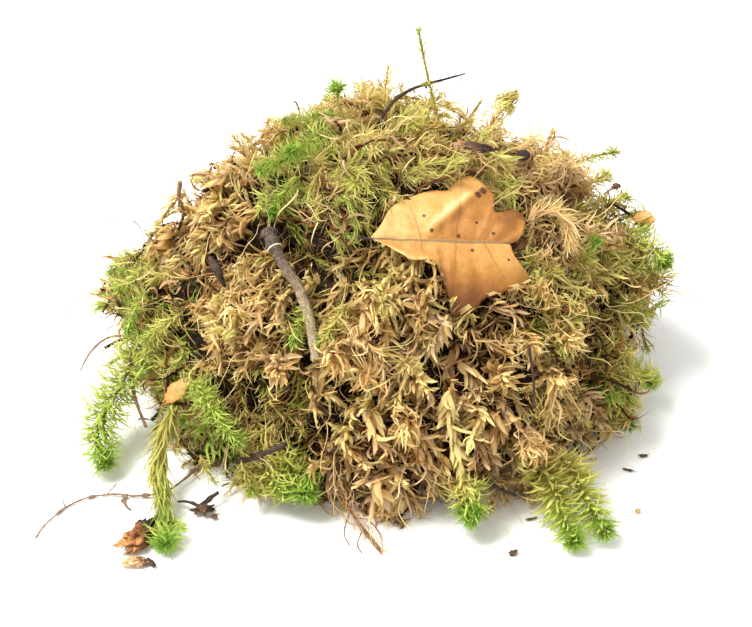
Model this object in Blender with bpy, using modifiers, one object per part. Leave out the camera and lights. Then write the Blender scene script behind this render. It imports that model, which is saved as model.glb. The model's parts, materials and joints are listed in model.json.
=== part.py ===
"""Moss clump: a heap of long-stemmed bog moss with a dead oak leaf, twigs and bark caught in it.

The heap is a number of tufts that grew apart and were gathered together. Each tuft is a wad with its
inner end in the heart of the heap and a rounded crown outside, and it meets its neighbours face to
face. Single shoots hang out of the heap, and the leaf, the twigs and the bark lie on it or under its
edge. Every solid is the outer shape of its piece, so that a tuft's surface is where its leaf tips end.

Lengths are in millimetres until MM turns them into metres. +Z is up, the heap rests on Z = 0, and its
front faces -Y.
"""
import math

import bmesh
import bpy
from mathutils import Euler, Matrix, Vector, noise
from mathutils.bvhtree import BVHTree

MM = 0.001
GAP = 0.3                        # kept between two pieces that touch
HEART = Vector((5.0, 16.0, 16.0))  # every tuft's inner end
TUFT_SPREAD = 52.0               # half the width a tuft would have without its neighbours
INNER_OVERRUN = 12.0             # how far a tuft would run past the heart of the heap
TUFT_LUMP = 9.0                  # how far its surface wanders in and out
LUMP_LENGTH = 24.0               # from one lump to the next
TUFT_SEGMENTS = 20
TUFT_RINGS = 13
LEAF_THICKNESS = 0.8
LEAF_STATIONS = 18               # side veins on each half of the blade
LEAF_COLUMNS = 3                 # cells along each side vein
LEAF_CLEARANCE = 25.0            # moss is pressed away this far above the leaf's underside
LEAF_BED_SCALE = 1.02            # the bed is this much larger than the leaf, about LEAF_BED_MIDDLE
LEAF_BED_MIDDLE = Vector((33.9, 0.0))
LEAF_RISE = 1.2                  # the blade's height over its midrib's ends
LEAF_BOW = 0.006                 # how fast the blade drops to its sides, times the distance squared
LOBE_HANG = 0.012                # the same for the lower lobe, from HANG_FROM on
HANG_FROM = 10.0
END_CURL = 0.018                 # the same for the leaf's end, from CURL_FROM on
CURL_FROM = 50.0
TIP_ROUNDING = 0.6               # a shoot's last ring, as a share of the one before it
CHIP_SIZE = 0.9                  # a chip's mean size as a share of its box
CHIP_ROUGHNESS = 0.12            # how far its surface wanders, as a share of its size
CHIP_LUMP_LENGTH = 2.5           # from one of its lumps to the next
ROUGHNESS = 0.85                 # of every surface, as all of them are dry and matt

GREEN = (0.16, 0.32, 0.05)
OLIVE = (0.30, 0.30, 0.09)
GOLDEN = (0.50, 0.36, 0.15)
STRAW = (0.62, 0.50, 0.28)
TAN = (0.45, 0.30, 0.15)
BROWN = (0.16, 0.09, 0.04)
DARK = (0.06, 0.04, 0.025)
RUST = (0.40, 0.17, 0.06)
DEAD_LEAF = (0.62, 0.36, 0.13)

# name, the middle of the tuft's crown, colour
TUFTS = (
    ("tuft_crown_green", (-17, 0, 112), GREEN),
    ("tuft_crown_straw", (27, 18, 114), STRAW),
    ("tuft_crown_back", (-7, 58, 104), GOLDEN),
    ("tuft_shoulder_golden", (-69, 12, 86), GOLDEN),
    ("tuft_shoulder_pink", (79, 20, 88), TAN),
    ("tuft_left_olive", (-100, 4, 50), OLIVE),
    ("tuft_left_green", (-83, -40, 30), GREEN),
    ("tuft_center_golden", (-46, -40, 74), GOLDEN),
    ("tuft_leaf_bed", (26, -32, 94), STRAW),
    ("tuft_heart", (1, -59, 68), STRAW),
    ("tuft_center_tan", (33, -72, 42), TAN),
    ("tuft_right_curly", (67, -38, 70), GOLDEN),
    ("tuft_front_left", (-43, -66, 34), OLIVE),
    ("tuft_front_middle", (-5, -78, 24), BROWN),
    ("tuft_front_right", (71, -62, 30), STRAW),
    ("tuft_right_olive", (109, 20, 58), OLIVE),
    ("tuft_right_green", (105, -20, 28), GREEN),
    ("tuft_back_left", (-65, 72, 50), GOLDEN),
    ("tuft_back_middle", (5, 97, 56), OLIVE),
    ("tuft_back_right", (73, 76, 52), TAN),
)

# name, the stem's route from the heap to the tip, its half width at each point, colour
SHOOTS = (
    ("shoot_left_arm", ((-89, -14, 36), (-102, -28, 22), (-109, -40, 13), (-108, -53, 8)),
     (5, 6, 6.5, 6), GREEN),
    ("shoot_front_left", ((-76, -48, 30), (-82, -60, 17), (-81, -76, 9), (-76, -94, 6.5)),
     (5, 6, 6, 6.3), OLIVE),
    ("shoot_front_middle", ((28, -66, 46), (31, -76, 28), (35, -84, 13), (37, -94, 7.5)),
     (6, 7, 7, 7), GREEN),
    ("shoot_front_right_inner", ((55, -64, 17), (63, -77, 10), (70, -90, 7), (74, -99, 5.5)),
     (4, 5, 5.5, 5), GREEN),
    ("shoot_front_right_outer", ((70, -59, 17), (79, -73, 10), (85, -84, 7), (89, -94, 5.5)),
     (4, 5, 5.5, 5), GREEN),
    ("shoot_low_head", ((-34, -66, 17), (-30, -77, 11), (-24, -84, 7.5)), (5, 6.5, 7), GREEN),
    ("shoot_spray", ((-72, -42, 42), (-62, -53, 38), (-49, -64, 30)), (4, 5, 4.5), GREEN),
    ("shoot_right_star", ((103, 21, 62), (115, 20, 57), (122, 18, 48)), (4, 5.5, 6.5), GREEN),
    ("shoot_right_low", ((99, -14, 20), (109, -13, 12), (115, -12, 7)), (4, 5, 5.5), GREEN),
    ("shoot_back_right", ((73, 38, 78), (85, 41, 84), (98, 42, 87)), (4, 4.5, 3.5), OLIVE),
    ("shoot_top_thin", ((28, 22, 108), (25, 28, 124), (21, 31, 138), (19, 33, 149)),
     (3, 3, 2.5, 2), GREEN),
    ("shoot_top_star", ((-9, 18, 108), (-12, 24, 119), (-14, 27, 125)), (4, 5, 6), GREEN),
    ("shoot_top_pale", ((43, 30, 98), (50, 36, 110), (57, 38, 118)), (4, 6, 7), OLIVE),
)

# name, route, half width at each point, colour
TWIGS = (
    ("twig_grey", ((-39, -23, 95), (-34, -33, 91), (-27, -43, 85), (-23, -52, 75), (-21, -60, 64)),
     (2.6, 2.0, 2.0, 1.9, 1.9), BROWN),
    ("twig_black_top", ((-1, 20, 111), (11, 27, 117), (24, 33, 123.5), (35.5, 36, 128)),
     (1.0, 0.9, 0.8, 0.6), DARK),
    ("twig_dark_front", ((-53, -64, 19), (-42, -69, 25), (-31, -72, 32)), (0.9, 0.9, 0.7), DARK),
    ("twig_dark_low", ((40, -74, 19), (47, -76, 14), (54, -76, 10)), (0.9, 0.9, 0.7), DARK),
    ("twig_reddish", ((-96, -23, 36), (-94, -34, 24), (-89, -44, 16)), (0.8, 0.8, 0.7), RUST),
    ("twig_needle", ((57, -55, 66), (59, -62, 56), (59, -67, 46)), (0.6, 0.6, 0.5), DARK),
    ("stem_arching", ((-97, -14, 38), (-106, -13, 36), (-114, -11, 27), (-120, -7, 14)),
     (0.6, 0.6, 0.5, 0.5), BROWN),
    ("root_zigzag", ((-67, -52, 4), (-79, -65, 2.4), (-91, -67, 1.2), (-103, -66, 0.9), (-111, -68, 0.9),
                     (-118, -73, 0.8), (-125, -83, 0.7), (-127, -89, 0.6)),
     (0.7, 0.7, 0.7, 0.6, 0.6, 0.5, 0.5, 0.4), BROWN),
    ("root_fibre", ((-13, -74, 12), (-7, -83, 5), (-2, -90, 2), (3, -97, 0.8)), (1.0, 0.8, 0.7, 0.5), RUST),
)

# name, middle, half sizes along its own X, Y and Z, turn about Z and tilt about its X in degrees, colour
CHIPS = (
    ("bark_flake", (-90, -94, 3.4), (9.0, 5.0, 3.2), 40, 0, RUST),
    ("bark_crumb", (-65.5, -74, 3.2), (7.5, 4.0, 3.0), 8, 0, BROWN),
    ("crumb_pale", (-89, -102.5, 1.9), (4.4, 2.2, 1.7), 0, 0, STRAW),
    ("bark_strip", (38, 4, 115), (9.0, 2.6, 2.0), -18, 10, DARK),
    ("bud_brown", (57.5, 12, 105), (3.6, 2.9, 2.7), 20, 15, BROWN),
    ("leaf_scrap_left", (-75, -43, 33), (8.5, 4.5, 1.2), 30, 62, TAN),
    ("leaf_scrap_right", (107, 24, 68), (3.5, 3.0, 1.0), 80, -50, RUST),
)

# The oak leaf in its own axes: X runs along the midrib from the stalk, Y across to the upper margin and Z
# off its face. The margins are the outline, lobe by lobe, from the stalk to the end of the midrib.
LEAF_PLACE = (-5, -34, 99)
LEAF_TURN = (36, 7, 7)
MIDRIB_LENGTH = 56.5
VEIN_LEAN = 0.7                  # under 1, the side veins start nearer the leaf's end than they would
UPPER_MARGIN = ((0, 0), (6.5, 5.5), (13, 13.5), (26, 20), (34, 20.5), (37, 24.5), (42, 27.5), (46.5, 26),
                (51.5, 20), (51.5, 12.5), (59, 14), (63.5, 12), (63, 7.5), (60, 2.2), (56.5, 0))
LOWER_MARGIN = ((0, 0), (9.5, -2.5), (15.5, -6), (19, -8), (27.5, -8), (29.5, -12), (33, -20.5), (35, -26.5),
                (43, -25), (46, -21), (51.5, -19), (63, -14), (63.5, -11), (58.5, -5.5), (56.5, 0))


def material(name, colour):
    mat = bpy.data.materials.new(name)
    mat.use_nodes = True
    shader = mat.node_tree.nodes["Principled BSDF"]
    shader.inputs["Base Color"].default_value = (*colour, 1.0)
    shader.inputs["Roughness"].default_value = ROUGHNESS
    mat.diffuse_color = (*colour, 1.0)
    return mat


def add_object(name, mesh, colour=None, where=None):
    """An object for the mesh, in the clump's collection or, with no colour, among the cutters."""
    obj = bpy.data.objects.new(name, mesh)
    (where or clump).objects.link(obj)
    obj.parent = heap
    if colour:
        mesh.materials.append(material(name, colour))
    else:
        obj.hide_render = True
        obj.display_type = "WIRE"
    return obj


def mesh_from(bm, name):
    bmesh.ops.recalc_face_normals(bm, faces=bm.faces)
    mesh = bpy.data.meshes.new(name)
    bm.to_mesh(mesh)
    bm.free()
    mesh.transform(Matrix.Scale(MM, 4))
    return mesh


def trim(bm, point, normal):
    """Cuts off what lies beyond the plane, on the side its normal points to, and closes the cut."""
    geometry = list(bm.verts) + list(bm.edges) + list(bm.faces)
    cut = bmesh.ops.bisect_plane(bm, geom=geometry, dist=0.001, plane_co=point, plane_no=normal,
                                 clear_outer=True)
    edges = [item for item in cut["geom_cut"] if isinstance(item, bmesh.types.BMEdge)]
    if edges:
        bmesh.ops.contextual_create(bm, geom=edges)


def tuft(index):
    """A lumpy wad from the heart of the heap to its crown, trimmed where the tufts beside it begin."""
    name, crown, colour = TUFTS[index]
    outward = (Vector(crown) - HEART).normalized()
    reach = ((Vector(crown) - HEART).length + INNER_OVERRUN) / 2
    middle = Vector(crown) - outward * reach
    turn = outward.to_track_quat("Z", "Y").to_matrix().to_4x4()
    stretch = Matrix.Diagonal((TUFT_SPREAD, TUFT_SPREAD, reach, 1))
    bm = bmesh.new()
    bmesh.ops.create_uvsphere(bm, u_segments=TUFT_SEGMENTS, v_segments=TUFT_RINGS, radius=1,
                              matrix=Matrix.Translation(middle) @ turn @ stretch)
    bm.normal_update()
    for vert in bm.verts:
        vert.co += vert.normal * TUFT_LUMP * noise.noise(vert.co / LUMP_LENGTH)
    for _, other, _ in TUFTS:
        between = (Vector(other) - HEART).normalized() - outward
        if between.length > 0:
            between.normalize()
            trim(bm, HEART - between * GAP / 2, between)
    trim(bm, Vector(), Vector((0, 0, -1)))
    bmesh.ops.dissolve_degenerate(bm, dist=0.05, edges=bm.edges)
    return add_object(name, mesh_from(bm, name), colour)


def smooth_route(points, radii, steps=4):
    """Points and half widths along a smooth line through the given ones."""
    route = []
    count = len(points)
    points = [Vector(point) for point in points]
    for i in range(count - 1):
        before = points[max(i - 1, 0)]
        after = points[min(i + 2, count - 1)]
        start, end = points[i], points[i + 1]
        for step in range(steps + (i == count - 2)):
            t = step / steps
            bend = (2 * start + (end - before) * t + (2 * before - 5 * start + 4 * end - after) * t * t
                    + (3 * start - before - 3 * end + after) * t ** 3) / 2
            route.append((bend, radii[i] + (radii[i + 1] - radii[i]) * t))
    return route


def tube(name, points, radii, wider=0.0, steps=4, blunt=False):
    """The mesh of a round rod along the route, with its two caps welded on and, if blunt, a rounded tip."""
    curve = bpy.data.curves.new(name, "CURVE")
    curve.dimensions = "3D"
    curve.bevel_depth = 1.0
    curve.bevel_resolution = 2
    curve.use_fill_caps = True
    route = smooth_route(points, radii, steps)
    if blunt:
        tip, radius = route[-1]
        onward = (tip - route[-2][0]).normalized()
        route.append((tip + onward * radius * TIP_ROUNDING, radius * TIP_ROUNDING))
    spline = curve.splines.new("POLY")
    spline.points.add(len(route) - 1)
    for end, step in ((0, 1), (-1, -2)):
        # A cutter reaches a little past both ends.
        place, radius = route[end]
        route[end] = (place + (place - route[step][0]).normalized() * wider, radius)
    for knot, (place, radius) in zip(spline.points, route):
        knot.co = (*place, 1)
        knot.radius = radius + wider
    holder = bpy.data.objects.new(name, curve)
    clump.objects.link(holder)
    graph = bpy.context.evaluated_depsgraph_get()
    mesh = bpy.data.meshes.new_from_object(holder.evaluated_get(graph))
    bpy.data.objects.remove(holder)
    bm = bmesh.new()
    bm.from_mesh(mesh)
    bmesh.ops.remove_doubles(bm, verts=bm.verts, dist=0.0001)
    bmesh.ops.recalc_face_normals(bm, faces=bm.faces)
    bm.to_mesh(mesh)
    bm.free()
    mesh.name = name
    mesh.transform(Matrix.Scale(MM, 4))
    return mesh


def chip(name, middle, half, turn, tilt, wider=0.0):
    """The mesh of a rough flattened lump."""
    bm = bmesh.new()
    place = (Matrix.Translation(middle) @ Matrix.Rotation(math.radians(turn), 4, "Z")
             @ Matrix.Rotation(math.radians(tilt), 4, "X"))
    sizes = Matrix.Diagonal((*(size + wider for size in half), 1))
    bmesh.ops.create_icosphere(bm, subdivisions=2, radius=1, matrix=place @ sizes)
    for vert in bm.verts:
        away = vert.co - Vector(middle)
        lump = noise.noise(Vector(middle) + away / CHIP_LUMP_LENGTH)
        vert.co = Vector(middle) + away * (CHIP_SIZE + CHIP_ROUGHNESS * lump)
    return mesh_from(bm, name)


def along(outline, share):
    """The point a share of the way along the outline."""
    points = [Vector(point) for point in outline]
    steps = [(after - before).length for before, after in zip(points, points[1:])]
    left = share * sum(steps)
    for before, after, step in zip(points, points[1:], steps):
        if left <= step:
            return before.lerp(after, left / step)
        left -= step
    return points[-1]


def leaf_height(x, y):
    """The blade bows across its width, its lower lobe hangs, and its end curls down."""
    hang = max(-y - HANG_FROM, 0)
    curl = max(x - CURL_FROM, 0)
    return LEAF_RISE - LEAF_BOW * y ** 2 - LOBE_HANG * hang ** 2 - END_CURL * curl ** 2


def leaf_surface():
    """The blade without thickness: a half on each side of the midrib, made of strips along its side veins."""
    bm = bmesh.new()
    rows = []
    for station in range(LEAF_STATIONS + 1):
        share = station / LEAF_STATIONS
        root = Vector((MIDRIB_LENGTH * share ** VEIN_LEAN, 0))
        upper = along(UPPER_MARGIN, share)
        lower = along(LOWER_MARGIN, share)
        line = [lower.lerp(root, i / LEAF_COLUMNS) for i in range(LEAF_COLUMNS)]
        line += [root.lerp(upper, i / LEAF_COLUMNS) for i in range(LEAF_COLUMNS + 1)]
        rows.append([bm.verts.new((p.x, p.y, leaf_height(p.x, p.y))) for p in line])
    for row, after in zip(rows, rows[1:]):
        for i in range(2 * LEAF_COLUMNS):
            bm.faces.new((row[i], after[i], after[i + 1], row[i + 1]))
    bmesh.ops.remove_doubles(bm, verts=bm.verts, dist=0.01)
    return bm


def placed_leaf(bm, name):
    turn = Matrix.LocRotScale(LEAF_PLACE, Euler([math.radians(angle) for angle in LEAF_TURN]), None)
    bm.transform(turn)
    return mesh_from(bm, name)


def add_leaf():
    """The leaf as a thin solid, and the moss pressed flat under it."""
    bm = leaf_surface()
    bmesh.ops.recalc_face_normals(bm, faces=bm.faces)
    leaf = add_object("oak_leaf", placed_leaf(bm, "oak_leaf"), DEAD_LEAF)
    shell = leaf.modifiers.new("thickness", "SOLIDIFY")
    shell.thickness = LEAF_THICKNESS * MM
    shell.offset = 0
    leaf.data.shade_smooth()
    bm = leaf_surface()
    for vert in bm.verts:
        vert.co.z -= LEAF_THICKNESS + GAP
        vert.co.xy = LEAF_BED_MIDDLE + (vert.co.xy - LEAF_BED_MIDDLE) * LEAF_BED_SCALE
    raised = bmesh.ops.extrude_face_region(bm, geom=bm.faces)["geom"]
    bmesh.ops.translate(bm, vec=(0, 0, LEAF_CLEARANCE),
                        verts=[item for item in raised if isinstance(item, bmesh.types.BMVert)])
    bed(placed_leaf(bm, "oak_leaf_cutter"), "oak_leaf")


for item in list(bpy.data.objects):
    bpy.data.objects.remove(item)

clump = bpy.data.collections.new("moss_clump")
cutters = bpy.data.collections.new("cutters")
bpy.context.scene.collection.children.link(clump)
bpy.context.scene.collection.children.link(cutters)
heap = bpy.data.objects.new("heap", None)
clump.objects.link(heap)

tufts = [tuft(index) for index in range(len(TUFTS))]


def bed(cutter_mesh, name):
    """Presses the piece into every tuft that it touches."""
    cutter = add_object(name + "_cutter", cutter_mesh, where=cutters)
    touch = BVHTree.FromPolygons([v.co for v in cutter_mesh.vertices],
                                 [p.vertices for p in cutter_mesh.polygons])
    for piece in tufts:
        shape = BVHTree.FromPolygons([v.co for v in piece.data.vertices],
                                     [p.vertices for p in piece.data.polygons])
        if shape.overlap(touch):
            cut = piece.modifiers.new(name, "BOOLEAN")
            cut.object = cutter


for name, points, radii, colour in SHOOTS + TWIGS:
    leafy = name.startswith("shoot")
    rod = add_object(name, tube(name, points, radii, steps=3 if leafy else 4, blunt=leafy), colour)
    rod.data.shade_smooth()
    bed(tube(name, points, radii, wider=GAP, steps=3 if leafy else 4, blunt=leafy), name)

add_leaf()

for name, middle, half, turn, tilt, colour in CHIPS:
    add_object(name, chip(name, middle, half, turn, tilt), colour)
    bed(chip(name, middle, half, turn, tilt, wider=GAP), name)
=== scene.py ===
import json
import math

import bmesh
import bpy
from mathutils import Euler, Matrix, Vector, noise

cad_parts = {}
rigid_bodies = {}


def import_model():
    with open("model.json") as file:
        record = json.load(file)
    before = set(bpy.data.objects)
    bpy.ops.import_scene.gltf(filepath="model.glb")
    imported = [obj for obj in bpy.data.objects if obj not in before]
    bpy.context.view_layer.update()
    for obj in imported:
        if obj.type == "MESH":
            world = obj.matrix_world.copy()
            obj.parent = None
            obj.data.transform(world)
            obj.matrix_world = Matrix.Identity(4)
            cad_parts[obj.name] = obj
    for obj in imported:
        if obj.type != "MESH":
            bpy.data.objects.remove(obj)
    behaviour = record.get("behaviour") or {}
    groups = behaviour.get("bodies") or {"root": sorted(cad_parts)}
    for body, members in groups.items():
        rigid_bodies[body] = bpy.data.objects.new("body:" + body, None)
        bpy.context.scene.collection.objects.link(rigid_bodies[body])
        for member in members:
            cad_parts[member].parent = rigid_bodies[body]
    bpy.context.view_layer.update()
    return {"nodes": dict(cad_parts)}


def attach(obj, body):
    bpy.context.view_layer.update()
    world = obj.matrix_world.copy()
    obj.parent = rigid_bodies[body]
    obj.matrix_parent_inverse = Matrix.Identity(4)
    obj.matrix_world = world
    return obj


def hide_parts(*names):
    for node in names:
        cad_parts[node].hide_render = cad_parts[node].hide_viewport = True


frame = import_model()

# ---------------------------------------------------------------------------------------------- moss leaves
# Bog moss carries plump spindle branches and thin leaves on a soft stem. They are one cell thick, green where
# they had light, straw or brown where they dried. Each is a small pointed strip here, cupped along its middle
# and bent along its length.
MM = 0.001
ALONG = "along"            # 0 at a leaf's base, 1 at its tip
ACROSS = "across"          # -1 to 1 from one edge to the other
STEM_SHARE = "stem_share"  # where on the shoot's stem a leaf grows, 0 to 1
LUCK = "luck"              # one random number for each leaf
IN_HEAD = "in_head"        # 1 on the leaves of a shoot's growing end


def linear(hex_colour):
    """The linear colour of an sRGB hex value."""
    values = [int(hex_colour[i:i + 2], 16) / 255 for i in (1, 3, 5)]
    return [v / 12.92 if v <= 0.04045 else ((v + 0.055) / 1.055) ** 2.4 for v in values] + [1.0]


def new_object(name, data):
    obj = bpy.data.objects.new(name, data)
    bpy.context.scene.collection.objects.link(obj)
    return obj


def finished(bm, name):
    """A smooth-shaded mesh of what was built, which is then let go."""
    mesh = bpy.data.meshes.new(name)
    bm.to_mesh(mesh)
    bm.free()
    mesh.shade_smooth()
    return mesh


def blade(name, length, width, cup, bend, cells, sway=0.0, slender=0.8):
    """One leaf in mm: its base at the origin, its tip along +Z, its back towards +X. A leaf that isn't cupped
    is a flat strip."""
    bm = bmesh.new()
    along = bm.verts.layers.float.new(ALONG)
    across = bm.verts.layers.float.new(ACROSS)
    widest = 0.45 / (0.45 + slender)
    columns = (-1, 0, 1) if cup else (-1, 1)
    rows = []
    place = Vector((0, 0, 0))
    for station in range(cells + 1):
        t = station / cells
        angle = math.radians(bend) * t
        swell = (t / widest) ** 0.45 * ((1 - t) / (1 - widest)) ** slender
        back = Vector((math.cos(angle), 0, -math.sin(angle)))
        row = []
        for column in columns if 0 < station < cells else (0,):
            side = Vector((0, column * width / 2 * swell + sway * math.sin(4.5 * t), 0))
            vert = bm.verts.new((place + side - back * (cup * width / 2 * swell * abs(column))) * MM)
            vert[along] = t
            vert[across] = column
            row.append(vert)
        rows.append(row)
        place = place + Vector((math.sin(angle), 0, math.cos(angle))) * (length / cells)
    for low, high in zip(rows, rows[1:]):
        for i in range(max(len(low), len(high)) - 1):
            corners = [low[min(i, len(low) - 1)], low[min(i + 1, len(low) - 1)],
                       high[min(i + 1, len(high) - 1)], high[min(i, len(high) - 1)]]
            bm.faces.new(list(dict.fromkeys(corners)))
    return finished(bm, name)


def leaf_kind(name, *shapes):
    """A collection with a few shapes of one kind of leaf, each given as the numbers that blade takes."""
    kind = bpy.data.collections.new(name)
    for number, shape in enumerate(shapes):
        kind.objects.link(bpy.data.objects.new(f"{name}_{number}", blade(f"{name}_{number}", *shape)))
    return kind


# Each leaf's length, width, cup, bend, cells, sway and how slender it is.
BOAT = leaf_kind("boat_leaf", (9.5, 2.3, 1.1, -75, 4, 0.4, 0.6), (10.5, 2.0, 1.2, -110, 5, -0.6, 0.7),
                 (9.0, 2.5, 1.0, -40, 4, 0.0, 0.6), (11.0, 1.9, 1.1, 50, 5, 1.2, 0.7))
STRAND = leaf_kind("strand_leaf", (10.5, 1.35, 1.0, -80, 4, 0.8, 0.6), (12.0, 1.1, 1.0, -125, 5, 1.6, 0.7),
                   (9.5, 1.45, 1.0, -35, 4, -0.5, 0.6), (11.5, 1.15, 1.0, 85, 5, -1.4, 0.7))
CURL = leaf_kind("curled_leaf", (9.5, 0.85, 0, 150, 6, 1.4), (12.0, 0.7, 0, -210, 7, -1.8),
                 (8.5, 0.9, 0, 90, 5, 1.0), (12.5, 0.7, 0, 180, 7, 2.2))
NEEDLE = leaf_kind("needle_leaf", (7.5, 1.0, 0.8, 30, 3, 0.0, 1.0), (9.0, 0.8, 0, 65, 4, 0.5, 1.1),
                   (6.5, 1.1, 0.8, -25, 3, 0.0, 0.9), (8.0, 0.85, 0, 15, 4, 0.0, 1.1))
HAIR = leaf_kind("hair_leaf", (8.5, 0.7, 0, 45, 4, 0.4, 0.9), (10.0, 0.6, 0, 95, 5, -0.8, 0.9),
                 (7.5, 0.75, 0, -20, 3, 0.0, 0.8), (9.0, 0.65, 0, 70, 4, 0.9, 0.9))
WISP = leaf_kind("wisp_leaf", (14.0, 0.65, 0, -12, 4, 0.6, 0.6), (17.0, 0.55, 0, 10, 4, -1.0, 0.6),
                 (12.0, 0.7, 0, -20, 4, 0.4, 0.6), (15.0, 0.55, 0, 18, 4, 1.3, 0.6))
LEAF_SHAPES = 4            # shapes in each kind


def put(tree, kind, *values, named=None, stops=(), **settings):
    """Adds a node and returns its first output. values feed its inputs in order and named feeds them by name.
    None leaves an input alone. stops are the (position, hex colour) pairs of a colour ramp."""
    node = tree.nodes.new(kind)
    for name, value in settings.items():
        setattr(node, name, value)
    sockets = [socket for socket in node.inputs if socket.enabled]
    if sockets and sockets[0].is_multi_input:
        sockets = sockets[:1] * len(values)
    feeds = list(zip(sockets, values))
    feeds += [(next(s for s in sockets if s.name == name), value) for name, value in (named or {}).items()]
    for socket, value in feeds:
        if isinstance(value, bpy.types.NodeSocket):
            tree.links.new(value, socket)
        elif value is not None:
            socket.default_value = value
    for number, (position, colour) in enumerate(stops):
        if number > 1:
            node.color_ramp.elements.new(position)
        node.color_ramp.elements[number].position = position
        node.color_ramp.elements[number].color = linear(colour)
    return next((socket for socket in node.outputs if socket.enabled), None)


def new_skin(name):
    """A new material and its node tree."""
    skin = bpy.data.materials.new(name)
    skin.use_nodes = True
    return skin, skin.node_tree


def coat(tree, see_through=0.0, **looks):
    """Sets or feeds the inputs of a material's shader. see_through is how much light it lets through."""
    shader = tree.nodes["Principled BSDF"]
    for name, look in looks.items():
        socket = shader.inputs[name.replace("_", " ")]
        if isinstance(look, bpy.types.NodeSocket):
            tree.links.new(look, socket)
        else:
            socket.default_value = look
    if see_through:
        through = put(tree, "ShaderNodeBsdfTranslucent", looks["Base_Color"])
        both = put(tree, "ShaderNodeMixShader", see_through, shader.outputs["BSDF"], through)
        tree.links.new(both, tree.nodes["Material Output"].inputs["Surface"])


# Bog moss, living and air dried. Its leaf is one layer of cells, most of them empty, so it is matt, lets
# light through and bleaches from the tip down. Its map holds two things for every leaf: how bleached it is
# there, less where painted shade darkens the deep shoots and litter of the tufts, and its tone from litter
# brown over straw to living green.
MOSS_MAP = "OFBake"
moss, tree = new_skin("bog_moss_living_and_dried")
spot = put(tree, "ShaderNodeSeparateXYZ", put(tree, "ShaderNodeUVMap", uv_map=MOSS_MAP)).node
bleach, tone = spot.outputs["X"], spot.outputs["Y"]
here = put(tree, "ShaderNodeTexCoord").node.outputs["Object"]
crumbs = put(tree, "ShaderNodeTexNoise", here, named={
    "Scale": 1 / (1.6 * MM), "Detail": 4.0, "Roughness": 0.7})
rotted = put(tree, "ShaderNodeMapRange", tone, 0.06, 0.16, 1.0, 0.0)
crumbled = put(tree, "ShaderNodeMath", put(tree, "ShaderNodeMapRange", crumbs, 0.5, 0.72, 0.0, 0.22), rotted,
               operation="MULTIPLY")
tone = put(tree, "ShaderNodeMath", tone, crumbled, operation="ADD")
shaded = put(tree, "ShaderNodeValToRGB", tone, stops=(
    (0.0, "#120C07"), (0.12, "#3A240F"), (0.2, "#6A431C"), (0.3, "#9C7040"), (0.4, "#A67630"),
    (0.5, "#B68C38"), (0.62, "#948628"), (0.75, "#788424"), (0.88, "#66821F"), (1.0, "#467A16")))
sunned = put(tree, "ShaderNodeValToRGB", tone, stops=(
    (0.0, "#2C1D12"), (0.12, "#7B5530"), (0.2, "#C48A44"), (0.3, "#EAD2A8"), (0.4, "#EBC782"),
    (0.5, "#EFDC9E"), (0.62, "#E9DD88"), (0.75, "#D6DA76"), (0.88, "#BCD464"), (1.0, "#94C946")))
colour = put(tree, "ShaderNodeMix", bleach, shaded, sunned, data_type="RGBA")
cells = put(tree, "ShaderNodeTexNoise", here, named={"Scale": 1 / (0.5 * MM), "Detail": 2.0})
relief = put(tree, "ShaderNodeMath", crumbs, put(tree, "ShaderNodeMath", rotted, 2.0, operation="MULTIPLY"),
             put(tree, "ShaderNodeMath", cells, 0.25, operation="MULTIPLY"), operation="MULTIPLY_ADD")
relief = put(tree, "ShaderNodeBump", named={"Strength": 0.5, "Distance": 0.6 * MM, "Height": relief})
coat(tree, 0.38, IOR=1.33, Roughness=0.7, Base_Color=colour, Normal=relief)

# ---------------------------------------------------------------------------------------------- moss shoots
# A shoot is a limp stem with its leaves set round it in a spiral, 137.5 degrees from one to the next, and at
# its growing end a mop of young leaves. One node tree grows it along any line. A few short lengths of each
# look are grown here for the tufts, which are made of little else.
DIVERGENCE = math.radians(137.5)


def new_tree(name, inputs):
    """A geometry tree with named inputs, given as name and socket type."""
    tree = bpy.data.node_groups.new(name, "GeometryNodeTree")
    tree.interface.new_socket("Geometry", in_out="OUTPUT", socket_type="NodeSocketGeometry")
    tree.interface.new_socket("Geometry", in_out="INPUT", socket_type="NodeSocketGeometry")
    for label, kind in inputs.items():
        tree.interface.new_socket(label, in_out="INPUT", socket_type="NodeSocket" + kind)
    return tree


def turned(tree, rotation, axis, angle):
    """The rotation turned further about its own axis."""
    turn = put(tree, "FunctionNodeAxisAngleToRotation", axis, angle)
    return put(tree, "FunctionNodeRotateRotation", rotation, turn, rotation_space="LOCAL")


DRIFT_LENGTH = 16 * MM     # from one eddy to the next in the way that leaves wander
PRESS_REACH = 30 * MM      # how far below its presser a leaf can have been
GROUND_GAP = 0.25 * MM     # the lowest leaves keep this far off the table
GROUND_LAYER = 0.8 * MM    # and lie in a layer this thick
LEAF_TO_LEAF = 0.15        # tone from one leaf to another
# Painted shade: the tone shifts a little from one edge of a leaf to the other, so that it looks rounded.
EDGE_PAINTED_SHADE = 0.012       # tone across a leaf
BASE_BLEACH, TIP_BLEACH, LUCKY_BLEACH = 0.16, 0.6, 0.4


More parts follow.
